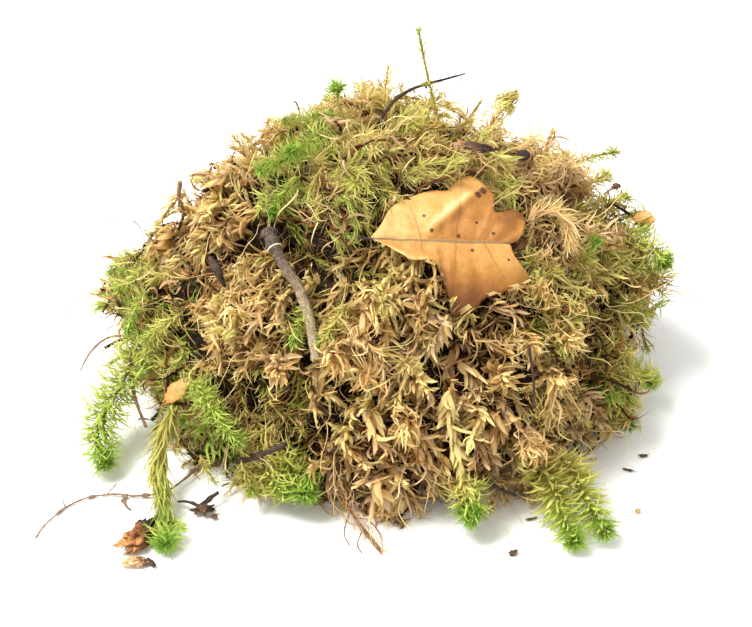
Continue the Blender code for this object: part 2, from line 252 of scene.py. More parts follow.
def finish_moss(tree, geometry, low_tone, high_tone, shade, stray, presser=None, press=None):
    """Realizes the leaves, lets them wander a little, keeps them under the presser and above the ground, and
    writes the moss map. press is the way that the presser pushes, as long as it pushes deep."""
    real = put(tree, "GeometryNodeRealizeInstances", geometry)
    place = put(tree, "GeometryNodeInputPosition")
    luck, along, across, share = (
        put(tree, "GeometryNodeInputNamedAttribute", name)
        for name in (LUCK, ALONG, ACROSS, STEM_SHARE))
    drift = put(tree, "ShaderNodeTexNoise", place, named={"Scale": 1 / DRIFT_LENGTH, "Detail": 1.0})
    drift = put(tree, "ShaderNodeVectorMath", drift.node.outputs["Color"], (0.5, 0.5, 0.5),
                operation="SUBTRACT")
    drift = put(tree, "ShaderNodeVectorMath", drift, stray, operation="SCALE")
    real = put(tree, "GeometryNodeSetPosition", real, named={"Offset": drift})
    if presser:
        under = put(tree, "GeometryNodeRaycast", presser, named={
            "Source Position": place, "Ray Direction": press, "Ray Length": PRESS_REACH}).node.outputs
        pressed = put(tree, "ShaderNodeVectorMath", under["Hit Position"], press, operation="ADD")
        real = put(tree, "GeometryNodeSetPosition", real, under["Is Hit"], pressed)
    height = put(tree, "ShaderNodeSeparateXYZ", place).node.outputs["Z"]
    ground = put(tree, "ShaderNodeMath", luck, GROUND_LAYER, GROUND_GAP, operation="MULTIPLY_ADD")
    sunk = put(tree, "ShaderNodeMath", put(tree, "ShaderNodeMath", ground, height, operation="SUBTRACT"), 0.0,
               operation="MAXIMUM")
    real = put(tree, "GeometryNodeSetPosition", real, named={
        "Offset": put(tree, "ShaderNodeCombineXYZ", 0.0, 0.0, sunk)})
    tone = put(tree, "ShaderNodeMix", put(tree, "ShaderNodeMath", share, 2.0, operation="POWER"),
               low_tone, high_tone)
    # Leaves differ in tone at random, and across each leaf by the painted shade above.
    for source, strength, middle in ((luck, LEAF_TO_LEAF, 0.5), (across, EDGE_PAINTED_SHADE, 0.0)):
        centred = put(tree, "ShaderNodeMath", source, middle, operation="SUBTRACT")
        tone = put(tree, "ShaderNodeMath", centred, strength, tone, operation="MULTIPLY_ADD")
    bleach = put(tree, "ShaderNodeMath", along, TIP_BLEACH, BASE_BLEACH, operation="MULTIPLY_ADD")
    bleach = put(tree, "ShaderNodeMath", luck, LUCKY_BLEACH, bleach, operation="MULTIPLY_ADD")
    # shade takes bleach off; in the tufts it holds painted shade on deep shoots and litter besides their
    # colour.
    bleach = put(tree, "ShaderNodeMath", bleach, shade, operation="SUBTRACT")
    kept = [put(tree, "ShaderNodeClamp", value, 0.01, 0.99) for value in (bleach, tone)]
    real = put(tree, "GeometryNodeStoreNamedAttribute", real, named={
        "Name": MOSS_MAP, "Value": put(tree, "ShaderNodeCombineXYZ", *kept)},
        data_type="FLOAT2", domain="CORNER")
    return put(tree, "GeometryNodeSetMaterial", real, named={"Material": moss})


SPIRAL_SLIP = 0.35         # radians that a leaf can be off the spiral
OPEN_SPREAD = 14.0         # degrees more or less that a leaf stands off
LEAF_TWIST = 0.6           # radians that a leaf can turn about itself
LEAF_SIZES = (0.7, 1.2)
HEAD_SIZES = (0.75, 1.15)
HEAD_LEAN = 1.8            # radians from the stem's line to the head's outermost leaves
LEAN_SPREAD = 0.15
STEM_STEP = 5 * MM
STEM_SIDES = 3

SHOOT = new_tree("moss shoot", {
    "Leaves": "Collection", "Spacing": "Float", "Leaf Scale": "Float", "Tip Scale": "Float",
    "Open Low": "Float", "Open High": "Float", "Head Leaves": "Int", "Head Scale": "Float",
    "Stem Radius": "Float", "Tone Low": "Float", "Tone High": "Float", "Shade": "Float",
    "Head Shade": "Float", "Stray": "Float", "Seed": "Int"})
tree = SHOOT
given = put(tree, "NodeGroupInput").node.outputs
leaves = put(tree, "GeometryNodeCollectionInfo", given["Leaves"], True, True)
share = put(tree, "GeometryNodeSplineParameter")
index = put(tree, "GeometryNodeInputIndex")
slip, spread, twist, leaf_size, lean_spread, head_size, luck = (
    put(tree, "FunctionNodeRandomValue", low, high, named={"Seed": seed}) for low, high, seed in (
        (-SPIRAL_SLIP, SPIRAL_SLIP, given["Seed"]), (-OPEN_SPREAD, OPEN_SPREAD, 7),
        (-LEAF_TWIST, LEAF_TWIST, 12), (*LEAF_SIZES, 3), (-LEAN_SPREAD, LEAN_SPREAD, 4), (*HEAD_SIZES, 6),
        (0.0, 1.0, given["Seed"])))
pick = put(tree, "FunctionNodeRandomValue", 0, LEAF_SHAPES - 1, named={"Seed": given["Seed"]},
           data_type="INT")
leaf_line, rod = (
    put(tree, "GeometryNodeStoreNamedAttribute", put(
        tree, "GeometryNodeResampleCurve", given["Geometry"], named={"Length": step}, mode="LENGTH"),
        named={"Name": STEM_SHARE, "Value": share}) for step in (given["Spacing"], STEM_STEP))
spin = put(tree, "ShaderNodeMath", index, DIVERGENCE, slip, operation="MULTIPLY_ADD")
opened = put(tree, "ShaderNodeMix", share, given["Open Low"], given["Open High"])
opened = put(tree, "ShaderNodeMath", opened, spread, operation="ADD")
opened = put(tree, "ShaderNodeMath", opened, operation="RADIANS")
late = put(tree, "ShaderNodeMath", share, 3.0, operation="POWER")
size = put(tree, "ShaderNodeMix", late, given["Leaf Scale"], given["Tip Scale"])
size = put(tree, "ShaderNodeMath", size, leaf_size, operation="MULTIPLY")

end = put(tree, "GeometryNodeSampleCurve", given["Geometry"], named={"Factor": 1.0},
          mode="FACTOR").node.outputs
mop = put(tree, "GeometryNodePoints", given["Head Leaves"], end["Position"])
head_spin = put(tree, "ShaderNodeMath", index, DIVERGENCE, operation="MULTIPLY")
outer = put(tree, "ShaderNodeMath", index, given["Head Leaves"], operation="DIVIDE")
outer = put(tree, "ShaderNodeMath", outer, operation="SQRT")
lean = put(tree, "ShaderNodeMath", outer, HEAD_LEAN, lean_spread, operation="MULTIPLY_ADD")
head_size = put(tree, "ShaderNodeMath", given["Head Scale"], head_size, operation="MULTIPLY")

# Where leaves stand, the stem's way there, their turns about it and off it, their size, and what each knows.
ON_STEM = (leaf_line, put(tree, "GeometryNodeInputTangent"),
           (((0, 0, 1), spin), ((0, 1, 0), opened), ((0, 0, 1), twist)), size, {LUCK: luck})
ON_HEAD = (mop, end["Tangent"], (((0, 0, 1), head_spin), ((0, 1, 0), lean)), head_size,
           {LUCK: luck, STEM_SHARE: 1.0, IN_HEAD: 1.0})
leafy = []
for points, way, turns, size, notes in (ON_STEM, ON_HEAD):
    facing = put(tree, "FunctionNodeAlignRotationToVector", named={"Vector": way}, axis="Z")
    for axis, angle in turns:
        facing = turned(tree, facing, axis, angle)
    grown = put(tree, "GeometryNodeInstanceOnPoints", points, named={
        "Instance": leaves, "Pick Instance": True, "Instance Index": pick, "Rotation": facing,
        "Scale": size})
    for name, value in notes.items():
        grown = put(tree, "GeometryNodeStoreNamedAttribute", grown, named={"Name": name, "Value": value},
                    domain="INSTANCE")
    leafy.append(grown)
rod = put(tree, "GeometryNodeCurveToMesh", rod, named={"Fill Caps": True, "Profile Curve": put(
    tree, "GeometryNodeCurvePrimitiveCircle", STEM_SIDES, named={"Radius": given["Stem Radius"]})})
whole = put(tree, "GeometryNodeJoinGeometry", rod, leafy[1], leafy[0])
in_head = put(tree, "GeometryNodeInputNamedAttribute", IN_HEAD)
shade = put(tree, "ShaderNodeMath", in_head, given["Head Shade"], given["Shade"], operation="MULTIPLY_ADD")
put(tree, "NodeGroupOutput", finish_moss(tree, whole, given["Tone Low"], given["Tone High"], shade,
                                         given["Stray"]))


def grow(obj, tree, **inputs):
    """Runs the tree on the object and returns the result as a plain mesh. The object is removed."""
    modifier = obj.modifiers.new("grow", "NODES")
    modifier.node_group = tree
    sockets = {item.name: item.identifier for item in tree.interface.items_tree if item.in_out == "INPUT"}
    for name, value in inputs.items():
        modifier[sockets[name.replace("_", " ").title()]] = value
    bpy.context.view_layer.update()
    graph = bpy.context.evaluated_depsgraph_get()
    mesh = bpy.data.meshes.new_from_object(obj.evaluated_get(graph), depsgraph=graph)
    bpy.data.objects.remove(obj)
    return mesh


def stem_line(name, points):
    """A smooth curve object through points in mm."""
    curve = bpy.data.curves.new(name, "CURVE")
    curve.dimensions = "3D"
    spline = curve.splines.new("BEZIER")
    spline.bezier_points.add(len(points) - 1)
    for knot, point in zip(spline.bezier_points, points):
        knot.co = Vector(point) * MM
        knot.handle_left_type = knot.handle_right_type = "AUTO"
    return new_object(name, curve)


def shoot_look(leaves, spacing, leaf_scale, tip_scale, open_low, open_high, head_leaves, head_scale,
               stem_radius, shade=0.0):
    """Settings of a shoot: its kind of leaf, the mm from one to the next, their size low down and at its end,
    the degrees by which they stand off there, its head's leaves and their size, its stem's radius in mm, and
    how much less bleached it is than usual."""
    return dict(leaves=leaves, spacing=spacing * MM, leaf_scale=leaf_scale, tip_scale=tip_scale,
                open_low=open_low, open_high=open_high, head_leaves=head_leaves, head_scale=head_scale,
                stem_radius=stem_radius * MM, shade=shade)


SHOOT_LOOKS = {
    "fat": shoot_look(BOAT, 1.0, 1.0, 0.65, 46.0, 30.0, 4, 0.6, 0.7),
    "stringy": shoot_look(STRAND, 0.95, 1.0, 0.7, 52.0, 34.0, 4, 0.6, 0.5),
    "curly": shoot_look(CURL, 0.62, 1.0, 0.8, 68.0, 48.0, 7, 0.75, 0.45),
    "green": shoot_look(NEEDLE, 0.55, 1.05, 0.85, 58.0, 40.0, 16, 0.75, 0.45),
    "combed": shoot_look(WISP, 0.34, 0.6, 0.45, 27.0, 14.0, 6, 0.4, 0.6),
    "brown": shoot_look(CURL, 3.4, 1.1, 0.9, 60.0, 40.0, 1, 0.5, 0.6),
}
STOCK_LENGTH = 30.0
STOCK_BENDS = ((0, 3), (5, 2), (9, -4), (-6, 6))


def stock(look):
    """A collection with a few shoots of one look, each along +Z with its middle at the origin."""
    shelf = bpy.data.collections.new(look + "_shoots")
    for number, (bow, twist) in enumerate(STOCK_BENDS):
        line = [(bow * (1 - (2 * t - 1) ** 2), twist * math.sin(math.pi * (2 * t - 1)) / 2,
                 STOCK_LENGTH * (t - 0.5)) for t in (0, 0.25, 0.5, 0.75, 1)]
        mesh = grow(stem_line(look, line), SHOOT, seed=number, **SHOOT_LOOKS[look])
        shelf.objects.link(bpy.data.objects.new(f"{look}_stock_{number}", mesh))
    return shelf


STOCK = {look: stock(look) for look in SHOOT_LOOKS}

# ------------------------------------------------------------------------------------------------- oak leaf
# One small dead oak leaf lies flat on the crown and holds by its own curl. It is paper thin, tan to brown,
# with a raised midrib, side veins that run to its lobes, one fold from the midrib to a lobe, and spots of
# fungus.
LEAF_PLACE = Vector((-5, -34, 99))
LEAF_TURN = (36, 7, 7)     # degrees about X, Y and Z
MIDRIB_LENGTH = 56.5
VEIN_LEAN = 0.7            # under 1, the side veins leave the midrib late and lean back
UPPER_MARGIN = ((3.5, 0), (7.5, 5), (13, 13.5), (26, 20), (34, 20.5), (37, 24.5), (42, 27.5), (46.5, 26),
                (51.5, 20), (51.5, 12.5), (59, 14), (63.5, 12), (63, 7.5), (60, 2.2), (56.5, 0))
LOWER_MARGIN = ((3.5, 0), (10, -2.5), (15.5, -6), (19, -8), (27.5, -8), (29.5, -12), (33, -20.5), (35, -26.5),
                (43, -25), (46, -21), (51.5, -19), (63, -14), (63.5, -11), (58.5, -5.5), (56.5, 0))
LEAF_STATIONS = 96
LEAF_COLUMNS = 20
SIDE_VEINS = 8
FOLD_START = Vector((25, 3.5))
FOLD_END = Vector((43.5, 20))
LEAF_SPOTS = ((24, 9.3, 0.75), (26.7, 3.7, 0.85), (36.9, 2, 0.9), (43.9, 7.5, 0.7), (50.1, 3.3, 0.8),
              (41.9, -3.3, 0.75), (45.4, 19.2, 1.5), (47.6, 21, 1.6), (34, 21.8, 0.5), (55.5, -6.5, 0.6))


def smooth(low, high, value):
    """0 below low, 1 above high, and an even rise between them."""
    t = min(max((value - low) / (high - low), 0), 1)
    return t * t * (3 - 2 * t)


def smooth_line(points, steps):
    """Points on a smooth curve through the given ones."""
    points = [Vector(point) for point in points]
    line = []
    for i in range(len(points) - 1):
        before, start, end = points[max(i - 1, 0)], points[i], points[i + 1]
        after = points[min(i + 2, len(points) - 1)]
        for step in range(steps + (i == len(points) - 2)):
            t = step / steps
            line.append((2 * start + (end - before) * t + (2 * before - 5 * start + 4 * end - after) * t * t
                         + (3 * start - before - 3 * end + after) * t ** 3) / 2)
    return line


def spaced(line, count):
    """count + 1 points the same distance apart along the line."""
    lengths = [0.0]
    for before, after in zip(line, line[1:]):
        lengths.append(lengths[-1] + (after - before).length)
    spots, i = [], 0
    for step in range(count + 1):
        want = lengths[-1] * step / count
        while i < len(line) - 2 and lengths[i + 1] < want:
            i += 1
        spots.append(line[i].lerp(line[i + 1], (want - lengths[i]) / (lengths[i + 1] - lengths[i])))
    return spots


def fold_side(x, y):
    """How far a point is from the fold, positive on the stalk's side, and how strong the fold is there."""
    run = FOLD_END - FOLD_START
    away = Vector((x, y)) - FOLD_START
    share = away.dot(run) / run.length_squared
    strength = smooth(-0.1, 0.25, share) * (1 - smooth(0.85, 1.1, share))
    return (run.x * away.y - run.y * away.x) / run.length, strength


def leaf_height(x, y, share, reach):
    """The blade bows across, its lower lobe hangs, its end curls down, and it bulges between side veins."""
    hang = max(-y - 10, 0)
    curl = max(x - 50, 0)
    height = 0.006 * (200 - y * y) - 0.012 * hang ** 2 - 0.018 * curl ** 2
    side, strength = fold_side(x, y)
    height += 1.7 * strength * math.exp(-(side / (7 if side > 0 else 2.2)) ** 2)
    height += 0.55 * reach * (1 - reach) * 4 * (0.5 - 0.5 * math.cos(2 * math.pi * SIDE_VEINS * share))
    height += 0.5 * noise.noise(Vector((x, y, 0)) * 0.11) + 0.14 * noise.noise(Vector((x, y, 4)) * 0.5)
    lip = smooth(12, 16, x) * (1 - smooth(24, 28, x)) * smooth(0.5, 1, reach) if y < 0 else 0
    return height + 1.3 * lip - 0.35 * math.exp(-(y / 0.9) ** 2)


def leaf_tone(x, y, reach):
    """How pale the blade is: palest by the stalk, brownest on its lower lobes, and a painted highlight on the
    fold.
    """
    side, strength = fold_side(x, y)
    if y >= 0:
        tone = 0.78 + 0.1 * (1 - smooth(0, 30, x)) - 0.32 * (1 - smooth(-3, 0.5, side)) * smooth(20, 30, x)
        # Painted highlight: a pale band along the ridge of the fold.
        tone += 0.24 * strength * math.exp(-((side - 0.8) / 1.3) ** 2)
        tone -= 0.22 * smooth(49, 56, x) * smooth(3, 10, y)
        tone += 0.35 * smooth(58, 62, x) * (1 - smooth(9, 12, y))
    else:
        tone = 0.66 - 0.5 * smooth(4, 24, -y) + 0.12 * smooth(44, 56, x)
        tone -= 0.16 * (1 - smooth(28, 36, x)) * smooth(6, 12, -y)
        tone += 0.3 * smooth(0.7, 1, reach) * (1 - smooth(26, 30, x))
    return tone - 0.12 * smooth(0.93, 1, reach)


# Dead oak leaf. Its cells dried with their tannin in them, so it is tan to brown, half matt, dark where
# fungus grew, and light still comes through it. A net of fine veins keeps it from being smooth.
dead_leaf, tree = new_skin("dead_oak_leaf")
# Its paleness is the leaf's own colour, with the painted highlight along the oak leaf's fold in it.
paleness, share, reach = (put(tree, "ShaderNodeAttribute", attribute_name=name).node.outputs["Fac"]
                          for name in ("paleness", "share", "reach"))
flat = put(tree, "ShaderNodeAttribute", attribute_name="flat_place").node.outputs["Vector"]
mottle = put(tree, "ShaderNodeTexNoise", flat, named={"Scale": 1 / 4.0, "Detail": 5.0, "Roughness": 0.65})
tone = put(tree, "ShaderNodeMath", put(tree, "ShaderNodeMath", mottle, 0.5, operation="SUBTRACT"), 0.42,
           paleness, operation="MULTIPLY_ADD")
blade_colour = put(tree, "ShaderNodeValToRGB", tone, stops=(
    (0.0, "#573012"), (0.2, "#804D20"), (0.42, "#A96F2E"), (0.62, "#C38A42"), (0.8, "#D9A35A"),
    (1.0, "#EBC78A")))
net = put(tree, "ShaderNodeTexVoronoi", flat, named={"Scale": 1 / 1.5}, feature="DISTANCE_TO_EDGE")
net = put(tree, "ShaderNodeMapRange", net, 0.0, 0.14, 1.0, 0.0)
turns = put(tree, "ShaderNodeMath", share, float(SIDE_VEINS), operation="MULTIPLY")
wavy = put(tree, "ShaderNodeTexNoise", flat, named={"Scale": 1 / 8.0})
wavy = put(tree, "ShaderNodeMath", wavy, 0.25, turns, operation="MULTIPLY_ADD")
off_vein = put(tree, "ShaderNodeMath", put(tree, "ShaderNodeMath", wavy, 1.0, operation="PINGPONG"),
               put(tree, "ShaderNodeMath", reach, 7.0, 8.0, operation="MULTIPLY_ADD"), operation="MULTIPLY")
side_vein = put(tree, "ShaderNodeMapRange", off_vein, 0.15, 0.75, 1.0, 0.0)
fainter = put(tree, "ShaderNodeMapRange", reach, 0.3, 1.0, 0.45, 0.12)
side_vein = put(tree, "ShaderNodeMath", side_vein, fainter, operation="MULTIPLY")
off_rib = put(tree, "ShaderNodeMath", put(tree, "ShaderNodeSeparateXYZ", flat).node.outputs["Y"],
              operation="ABSOLUTE")
rib = put(tree, "ShaderNodeMapRange", off_rib, 0.3, 0.75, 0.9, 0.0)
colour = put(tree, "ShaderNodeMix", put(tree, "ShaderNodeMath", net, 0.13, operation="MULTIPLY"),
             blade_colour, linear("#7E4B20"), data_type="RGBA")
colour = put(tree, "ShaderNodeMix", side_vein, colour, linear("#8F5E30"), data_type="RGBA")
colour = put(tree, "ShaderNodeMix", rib, colour, linear("#8C7350"), data_type="RGBA")
nearest = None
ragged = put(tree, "ShaderNodeMath", put(tree, "ShaderNodeTexNoise", flat, named={"Scale": 1.1}), 0.9, 0.5,
             operation="MULTIPLY_ADD")
for x, y, radius in LEAF_SPOTS:
    away = put(tree, "ShaderNodeVectorMath", flat, (x, y, 0), operation="DISTANCE").node.outputs["Value"]
    away = put(tree, "ShaderNodeMath", away, radius, operation="DIVIDE")
    nearest = away if nearest is None else put(tree, "ShaderNodeMath", nearest, away, operation="MINIMUM")
nearest = put(tree, "ShaderNodeMath", nearest, ragged, operation="MULTIPLY")
speck = put(tree, "ShaderNodeMapRange", nearest, 0.6, 1.1, 0.9, 0.0)
colour = put(tree, "ShaderNodeMix", speck, colour, linear("#3A2010"), data_type="RGBA")
height = put(tree, "ShaderNodeMath", side_vein, 0.7, rib, operation="MULTIPLY_ADD")
height = put(tree, "ShaderNodeMath", net, 0.25, height, operation="MULTIPLY_ADD")
height = put(tree, "ShaderNodeMath", mottle, 0.5, height, operation="MULTIPLY_ADD")
relief = put(tree, "ShaderNodeBump", named={"Strength": 0.7, "Distance": 0.25 * MM, "Height": height})
coat(tree, 0.18, IOR=1.45, Base_Color=colour, Normal=relief,
     Roughness=put(tree, "ShaderNodeMapRange", mottle, 0.3, 0.7, 0.42, 0.62))


def dead_blade(name, rows, place, thick, weld=0.0):
    """A dead leaf in mm through rows of points, with each point's paleness, share of the midrib, reach from
    the midrib to the edge, and place before it bent. weld joins points closer than that."""
    bm = bmesh.new()
    layers = [bm.verts.layers.float.new(layer) for layer in ("paleness", "share", "reach")]
    layers.append(bm.verts.layers.float_vector.new("flat_place"))
    made = []
    for row in rows:
        made.append([])
        for spot, *notes in row:
            vert = bm.verts.new(spot)
            for layer, note in zip(layers, notes):
                vert[layer] = note
            made[-1].append(vert)
    for row, after in zip(made, made[1:]):
        for corners in zip(row, row[1:], after[1:], after):
            bm.faces.new(corners)
    if weld:
        bmesh.ops.remove_doubles(bm, verts=bm.verts, dist=weld)
    bmesh.ops.recalc_face_normals(bm, faces=bm.faces)
    bm.transform(Matrix.Scale(MM, 4) @ place)
    leaf = new_object(name, finished(bm, name))
    thickness = leaf.modifiers.new("thickness", "SOLIDIFY")
    thickness.thickness = thick * MM
    thickness.offset = 0
    leaf.data.materials.append(dead_leaf)
    return leaf


def turned_at(middle, angles):
    """A place in mm, with a turn in degrees about X, Y and Z."""
    return Matrix.LocRotScale(Vector(middle), Euler([math.radians(angle) for angle in angles]), None)


upper, lower = (spaced(smooth_line(margin, 8), LEAF_STATIONS) for margin in (UPPER_MARGIN, LOWER_MARGIN))
rows = []
for station in range(LEAF_STATIONS + 1):
    share = station / LEAF_STATIONS
    root = upper[0].lerp(Vector((MIDRIB_LENGTH, 0)), share ** VEIN_LEAN)
    rows.append([])
    for column in range(-LEAF_COLUMNS, LEAF_COLUMNS + 1):
        reach = abs(column) / LEAF_COLUMNS
        x, y = root.lerp(upper[station] if column > 0 else lower[station], reach)
        rows[-1].append(((x, y, leaf_height(x, y, share, reach)), leaf_tone(x, y, reach), share, reach,
                         (x, y, 0)))
leaf_matrix = turned_at(LEAF_PLACE, LEAF_TURN)
oak_leaf = dead_blade("oak_leaf_blade", rows, leaf_matrix, 0.35, weld=0.01)
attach(oak_leaf, "root")
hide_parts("oak_leaf")


# ------------------------------------------------------------------------------------- twigs, roots and stems
# Thin woody things lie in the moss: one weathered grey twig, dark heather twigs, a pine needle, rootlets and
# dry stems. Each is one tapered rod with the bends and the knots that it grew with.
def rod(name, line, radii, rough, knots=(), sides=8, step=1.2):
    """A tapered rod through points in mm. rough is how uneven it is and knots are (share, size) swellings."""
    route = smooth_line(line, 8)
    total = sum((after - before).length for before, after in zip(route, route[1:]))
    count = max(int(total / step), 4)
    route = spaced(route, count)
    bm = bmesh.new()
    grain = bm.verts.layers.float_vector.new("grain")
    side = Vector((0.31, 0.2, 0.93))
    rings = []
    for i, place in enumerate(route):
        share = i / count
        onward = (route[min(i + 1, count)] - route[max(i - 1, 0)]).normalized()
        side = (side - onward * side.dot(onward)).normalized()
        other = onward.cross(side)
        spot = share * (len(radii) - 1)
        low = min(int(spot), len(radii) - 2)
        radius = radii[low] + (radii[low + 1] - radii[low]) * (spot - low)
        radius += sum(size * math.exp(-((share - where) * total / 1.3) ** 2) for where, size in knots)
        ring = []
        for corner in range(sides):
            angle = 2 * math.pi * corner / sides
            out = side * math.cos(angle) + other * math.sin(angle)
            skin = place + out * radius
            bump = noise.noise(skin * 0.45) + 0.5 * noise.noise(skin * 1.3)
            vert = bm.verts.new(place + out * radius * (1 + rough * bump))
            vert[grain] = (math.cos(angle) * radius, math.sin(angle) * radius, share * total)
            ring.append(vert)
        rings.append(ring)
    for low, high in zip(rings, rings[1:]):
        for i in range(sides):
            bm.faces.new((low[i - 1], low[i], high[i], high[i - 1]))
    for ring, order in ((rings[0], -1), (rings[-1], 1)):
        middle = sum((vert.co for vert in ring), Vector()) / sides
        tip = bm.verts.new(middle + (middle - (route[1] if order < 0 else route[-2])).normalized() * 0.3)
        tip[grain] = (0, 0, ring[0][grain].z)
        for i in range(sides):
            bm.faces.new((ring[i - 1], ring[i], tip)[::order])
    bmesh.ops.recalc_face_normals(bm, faces=bm.faces)
    bm.transform(Matrix.Scale(MM, 4))
    return finished(bm, name)


def bark(name, dark, middle, pale, streak, roughness, fades_over=0.0):
    """A bark whose streaks follow the rod. streak is their length in mm. One that fades is dark where the rod
    starts, and its middle colour that many mm on."""
    mat, tree = new_skin(name)
    grain = put(tree, "ShaderNodeAttribute", attribute_name="grain").node.outputs["Vector"]
    drawn = put(tree, "ShaderNodeVectorMath", grain, (1.6, 1.6, 1 / streak), operation="MULTIPLY")
    streaks = put(tree, "ShaderNodeTexNoise", drawn, named={"Scale": 1.0, "Detail": 5.0, "Roughness": 0.7})
    tone = streaks
    if fades_over:
        faded = put(tree, "ShaderNodeMapRange", put(tree, "ShaderNodeSeparateXYZ", grain).node.outputs["Z"],
                    fades_over * 0.35, fades_over, -0.16, 0.06)
        speckle = put(tree, "ShaderNodeTexNoise", grain, named={
            "Scale": 1.7, "Detail": 3.0, "Roughness": 0.8})
        tone = put(tree, "ShaderNodeMath", put(tree, "ShaderNodeMix", 0.6, streaks, speckle), faded,
                   operation="ADD")
    colour = put(tree, "ShaderNodeValToRGB", tone, stops=((0.3, dark), (0.5, middle), (0.7, pale)))
    relief = put(tree, "ShaderNodeBump", named={"Strength": 0.8, "Distance": 0.3 * MM, "Height": tone})
    coat(tree, Roughness=roughness, Base_Color=colour, Normal=relief)
    return mat


# Weathered twig bark has lost its colour to rain and light, and is grey with long cracks. The thin dark twigs
# still have their brown bark. Rootlets and dry stems have none, and show tan fibre.
GREY_BARK = bark("weathered_grey_bark", "#32261B", "#7E6A52", "#C4B292", 3.0, 0.85, fades_over=36.0)
DARK_BARK = bark("dark_twig_bark", "#1A110A", "#36261A", "#5C4632", 2.5, 0.9)
ROOT_SKIN = bark("dry_rootlet_skin", "#4A3224", "#7C5D45", "#A98B6C", 4.0, 0.7)
PALE_FIBRE = bark("bleached_plant_fibre", "#B9A27C", "#DCCBA8", "#F4EBD6", 4.0, 0.7)
# A thread of dry root is wound once round the grey twig: a circle through these points about the twig.
RING_MIDDLE = Vector((-36.5, -30.2, 92.4))
RING_AXIS = (0.42, -0.82, -0.4)
RING_REACH = Vector((0.6, -1.1, 2.6)) * 0.93
RING_POINTS = 19
RING_STEP = 0.35           # radians from one point to the next
# name, skin, line, radii, unevenness and knots
RODS = (
    ("twig_grey", GREY_BARK, ((-39, -23, 95), (-37.8, -27, 93.6), (-35, -33, 91), (-31.2, -39.5, 88),
                              (-28, -43, 85), (-25.2, -48, 80), (-23.2, -52, 75), (-21, -60, 64)),
     (2.5, 2.2, 1.9, 2.0, 1.9, 1.8, 1.8, 1.7), 0.22,
     ((0.02, 0.7), (0.1, 0.4), (0.17, 0.6), (0.55, 0.2), (1.0, 0.3))),
    ("twig_black_top", DARK_BARK, ((2, 23, 114), (7, 27, 120), (12, 29, 123.5), (18, 31, 125.5),
                                   (26, 33, 126.8), (35.5, 36, 128)),
     (0.7, 0.7, 0.65, 0.6, 0.5, 0.35), 0.25, ((0.3, 0.3), (0.62, 0.4))),
    ("twig_dark_front", DARK_BARK, ((-51.5, -66, 18), (-42, -70.5, 26), (-33, -73.5, 34)), (1.1, 1.1, 0.9),
     0.25, ((0.4, 0.4), (0.8, 0.3))),
    ("twig_dark_low", DARK_BARK, ((40, -74, 19), (47, -76, 14), (54, -76, 10)), (0.8, 0.8, 0.6), 0.2, ()),
    ("twig_reddish", ROOT_SKIN, ((-96, -23, 36), (-94, -34, 24), (-89, -44, 16)), (0.8, 0.75, 0.6), 0.2, ()),
    ("twig_needle", DARK_BARK, ((57, -55, 66), (59, -62, 56), (59, -67, 46)), (0.6, 0.55, 0.4), 0.1, ()),
    ("stem_arching", ROOT_SKIN, ((-97, -14, 38), (-106, -13, 36), (-114, -11, 27), (-120, -7, 14)),
     (0.55, 0.5, 0.45, 0.3), 0.15, ()),
    ("root_zigzag", ROOT_SKIN, ((-67, -52, 4), (-79, -65, 2.4), (-91, -67, 1.2), (-97, -66.4, 1.4),
                                (-103, -66, 0.9), (-111, -68, 0.9), (-118, -73, 0.8), (-121, -77, 0.9),
                                (-125, -83, 0.7), (-127, -89, 0.6)),
     (0.45, 0.4, 0.45, 0.4, 0.35, 0.35, 0.25), 0.3, ((0.35, 0.5), (0.62, 0.4), (0.8, 0.35))),
    ("root_fibre", ROOT_SKIN, ((-13, -74, 12), (-7, -83, 5), (-2, -90, 2), (3, -97, 0.8)),
     (0.7, 0.6, 0.5, 0.3), 0.25, ((0.3, 0.3), (0.6, 0.2))),
    ("oak_leaf_stalk", DARK_BARK,
     [leaf_matrix @ Vector(spot) for spot in ((5, 0, 0.9), (2, 0.1, 1.2), (-1, 0.4, 1.8))],
     (0.45, 0.55, 0.8), 0.15, ()),
    ("twig_ring", PALE_FIBRE, [RING_MIDDLE + Matrix.Rotation(RING_STEP * turn, 3, RING_AXIS) @ RING_REACH
                               for turn in range(RING_POINTS)], (0.3, 0.3), 0.2, ()),
    ("bark_sliver", DARK_BARK, ((-62, -19, 79.7), (-58.9, -26, 79.2), (-56.1, -28, 72.7)), (0.8, 1.7, 0.6),
     0.3, ()),
    ("stem_stub", ROOT_SKIN, ((-74.6, 13, 77.4), (-75.9, 10, 88), (-74.8, 9, 95.7)), (0.9, 0.8, 0.9), 0.3,
     ()),
    ("bud_stalk", ROOT_SKIN, ((92, 24, 79.8), (94.5, 25.5, 80.8), (97, 27, 81.4)), (0.35, 0.4, 0.45), 0.2,
     ()),
    ("crumb_twig_left", DARK_BARK, ((-75, -71.5, 2.5), (-71, -72.5, 3.4), (-66.5, -74.5, 3.2)),
     (0.4, 0.5, 0.7), 0.3, ()),
    ("crumb_twig_right", DARK_BARK, ((-66, -74.5, 3.4), (-62.5, -72, 4.6), (-59.5, -69.5, 5.6)),
     (0.9, 0.8, 0.7), 0.35, ((0.5, 0.3),)),
    ("crumb_dark_end", DARK_BARK, ((-83.6, -100.8, 1.6), (-82, -102.3, 1.5), (-80.6, -103.8, 1.2)),
     (0.9, 1.1, 0.8), 0.3, ()),
)
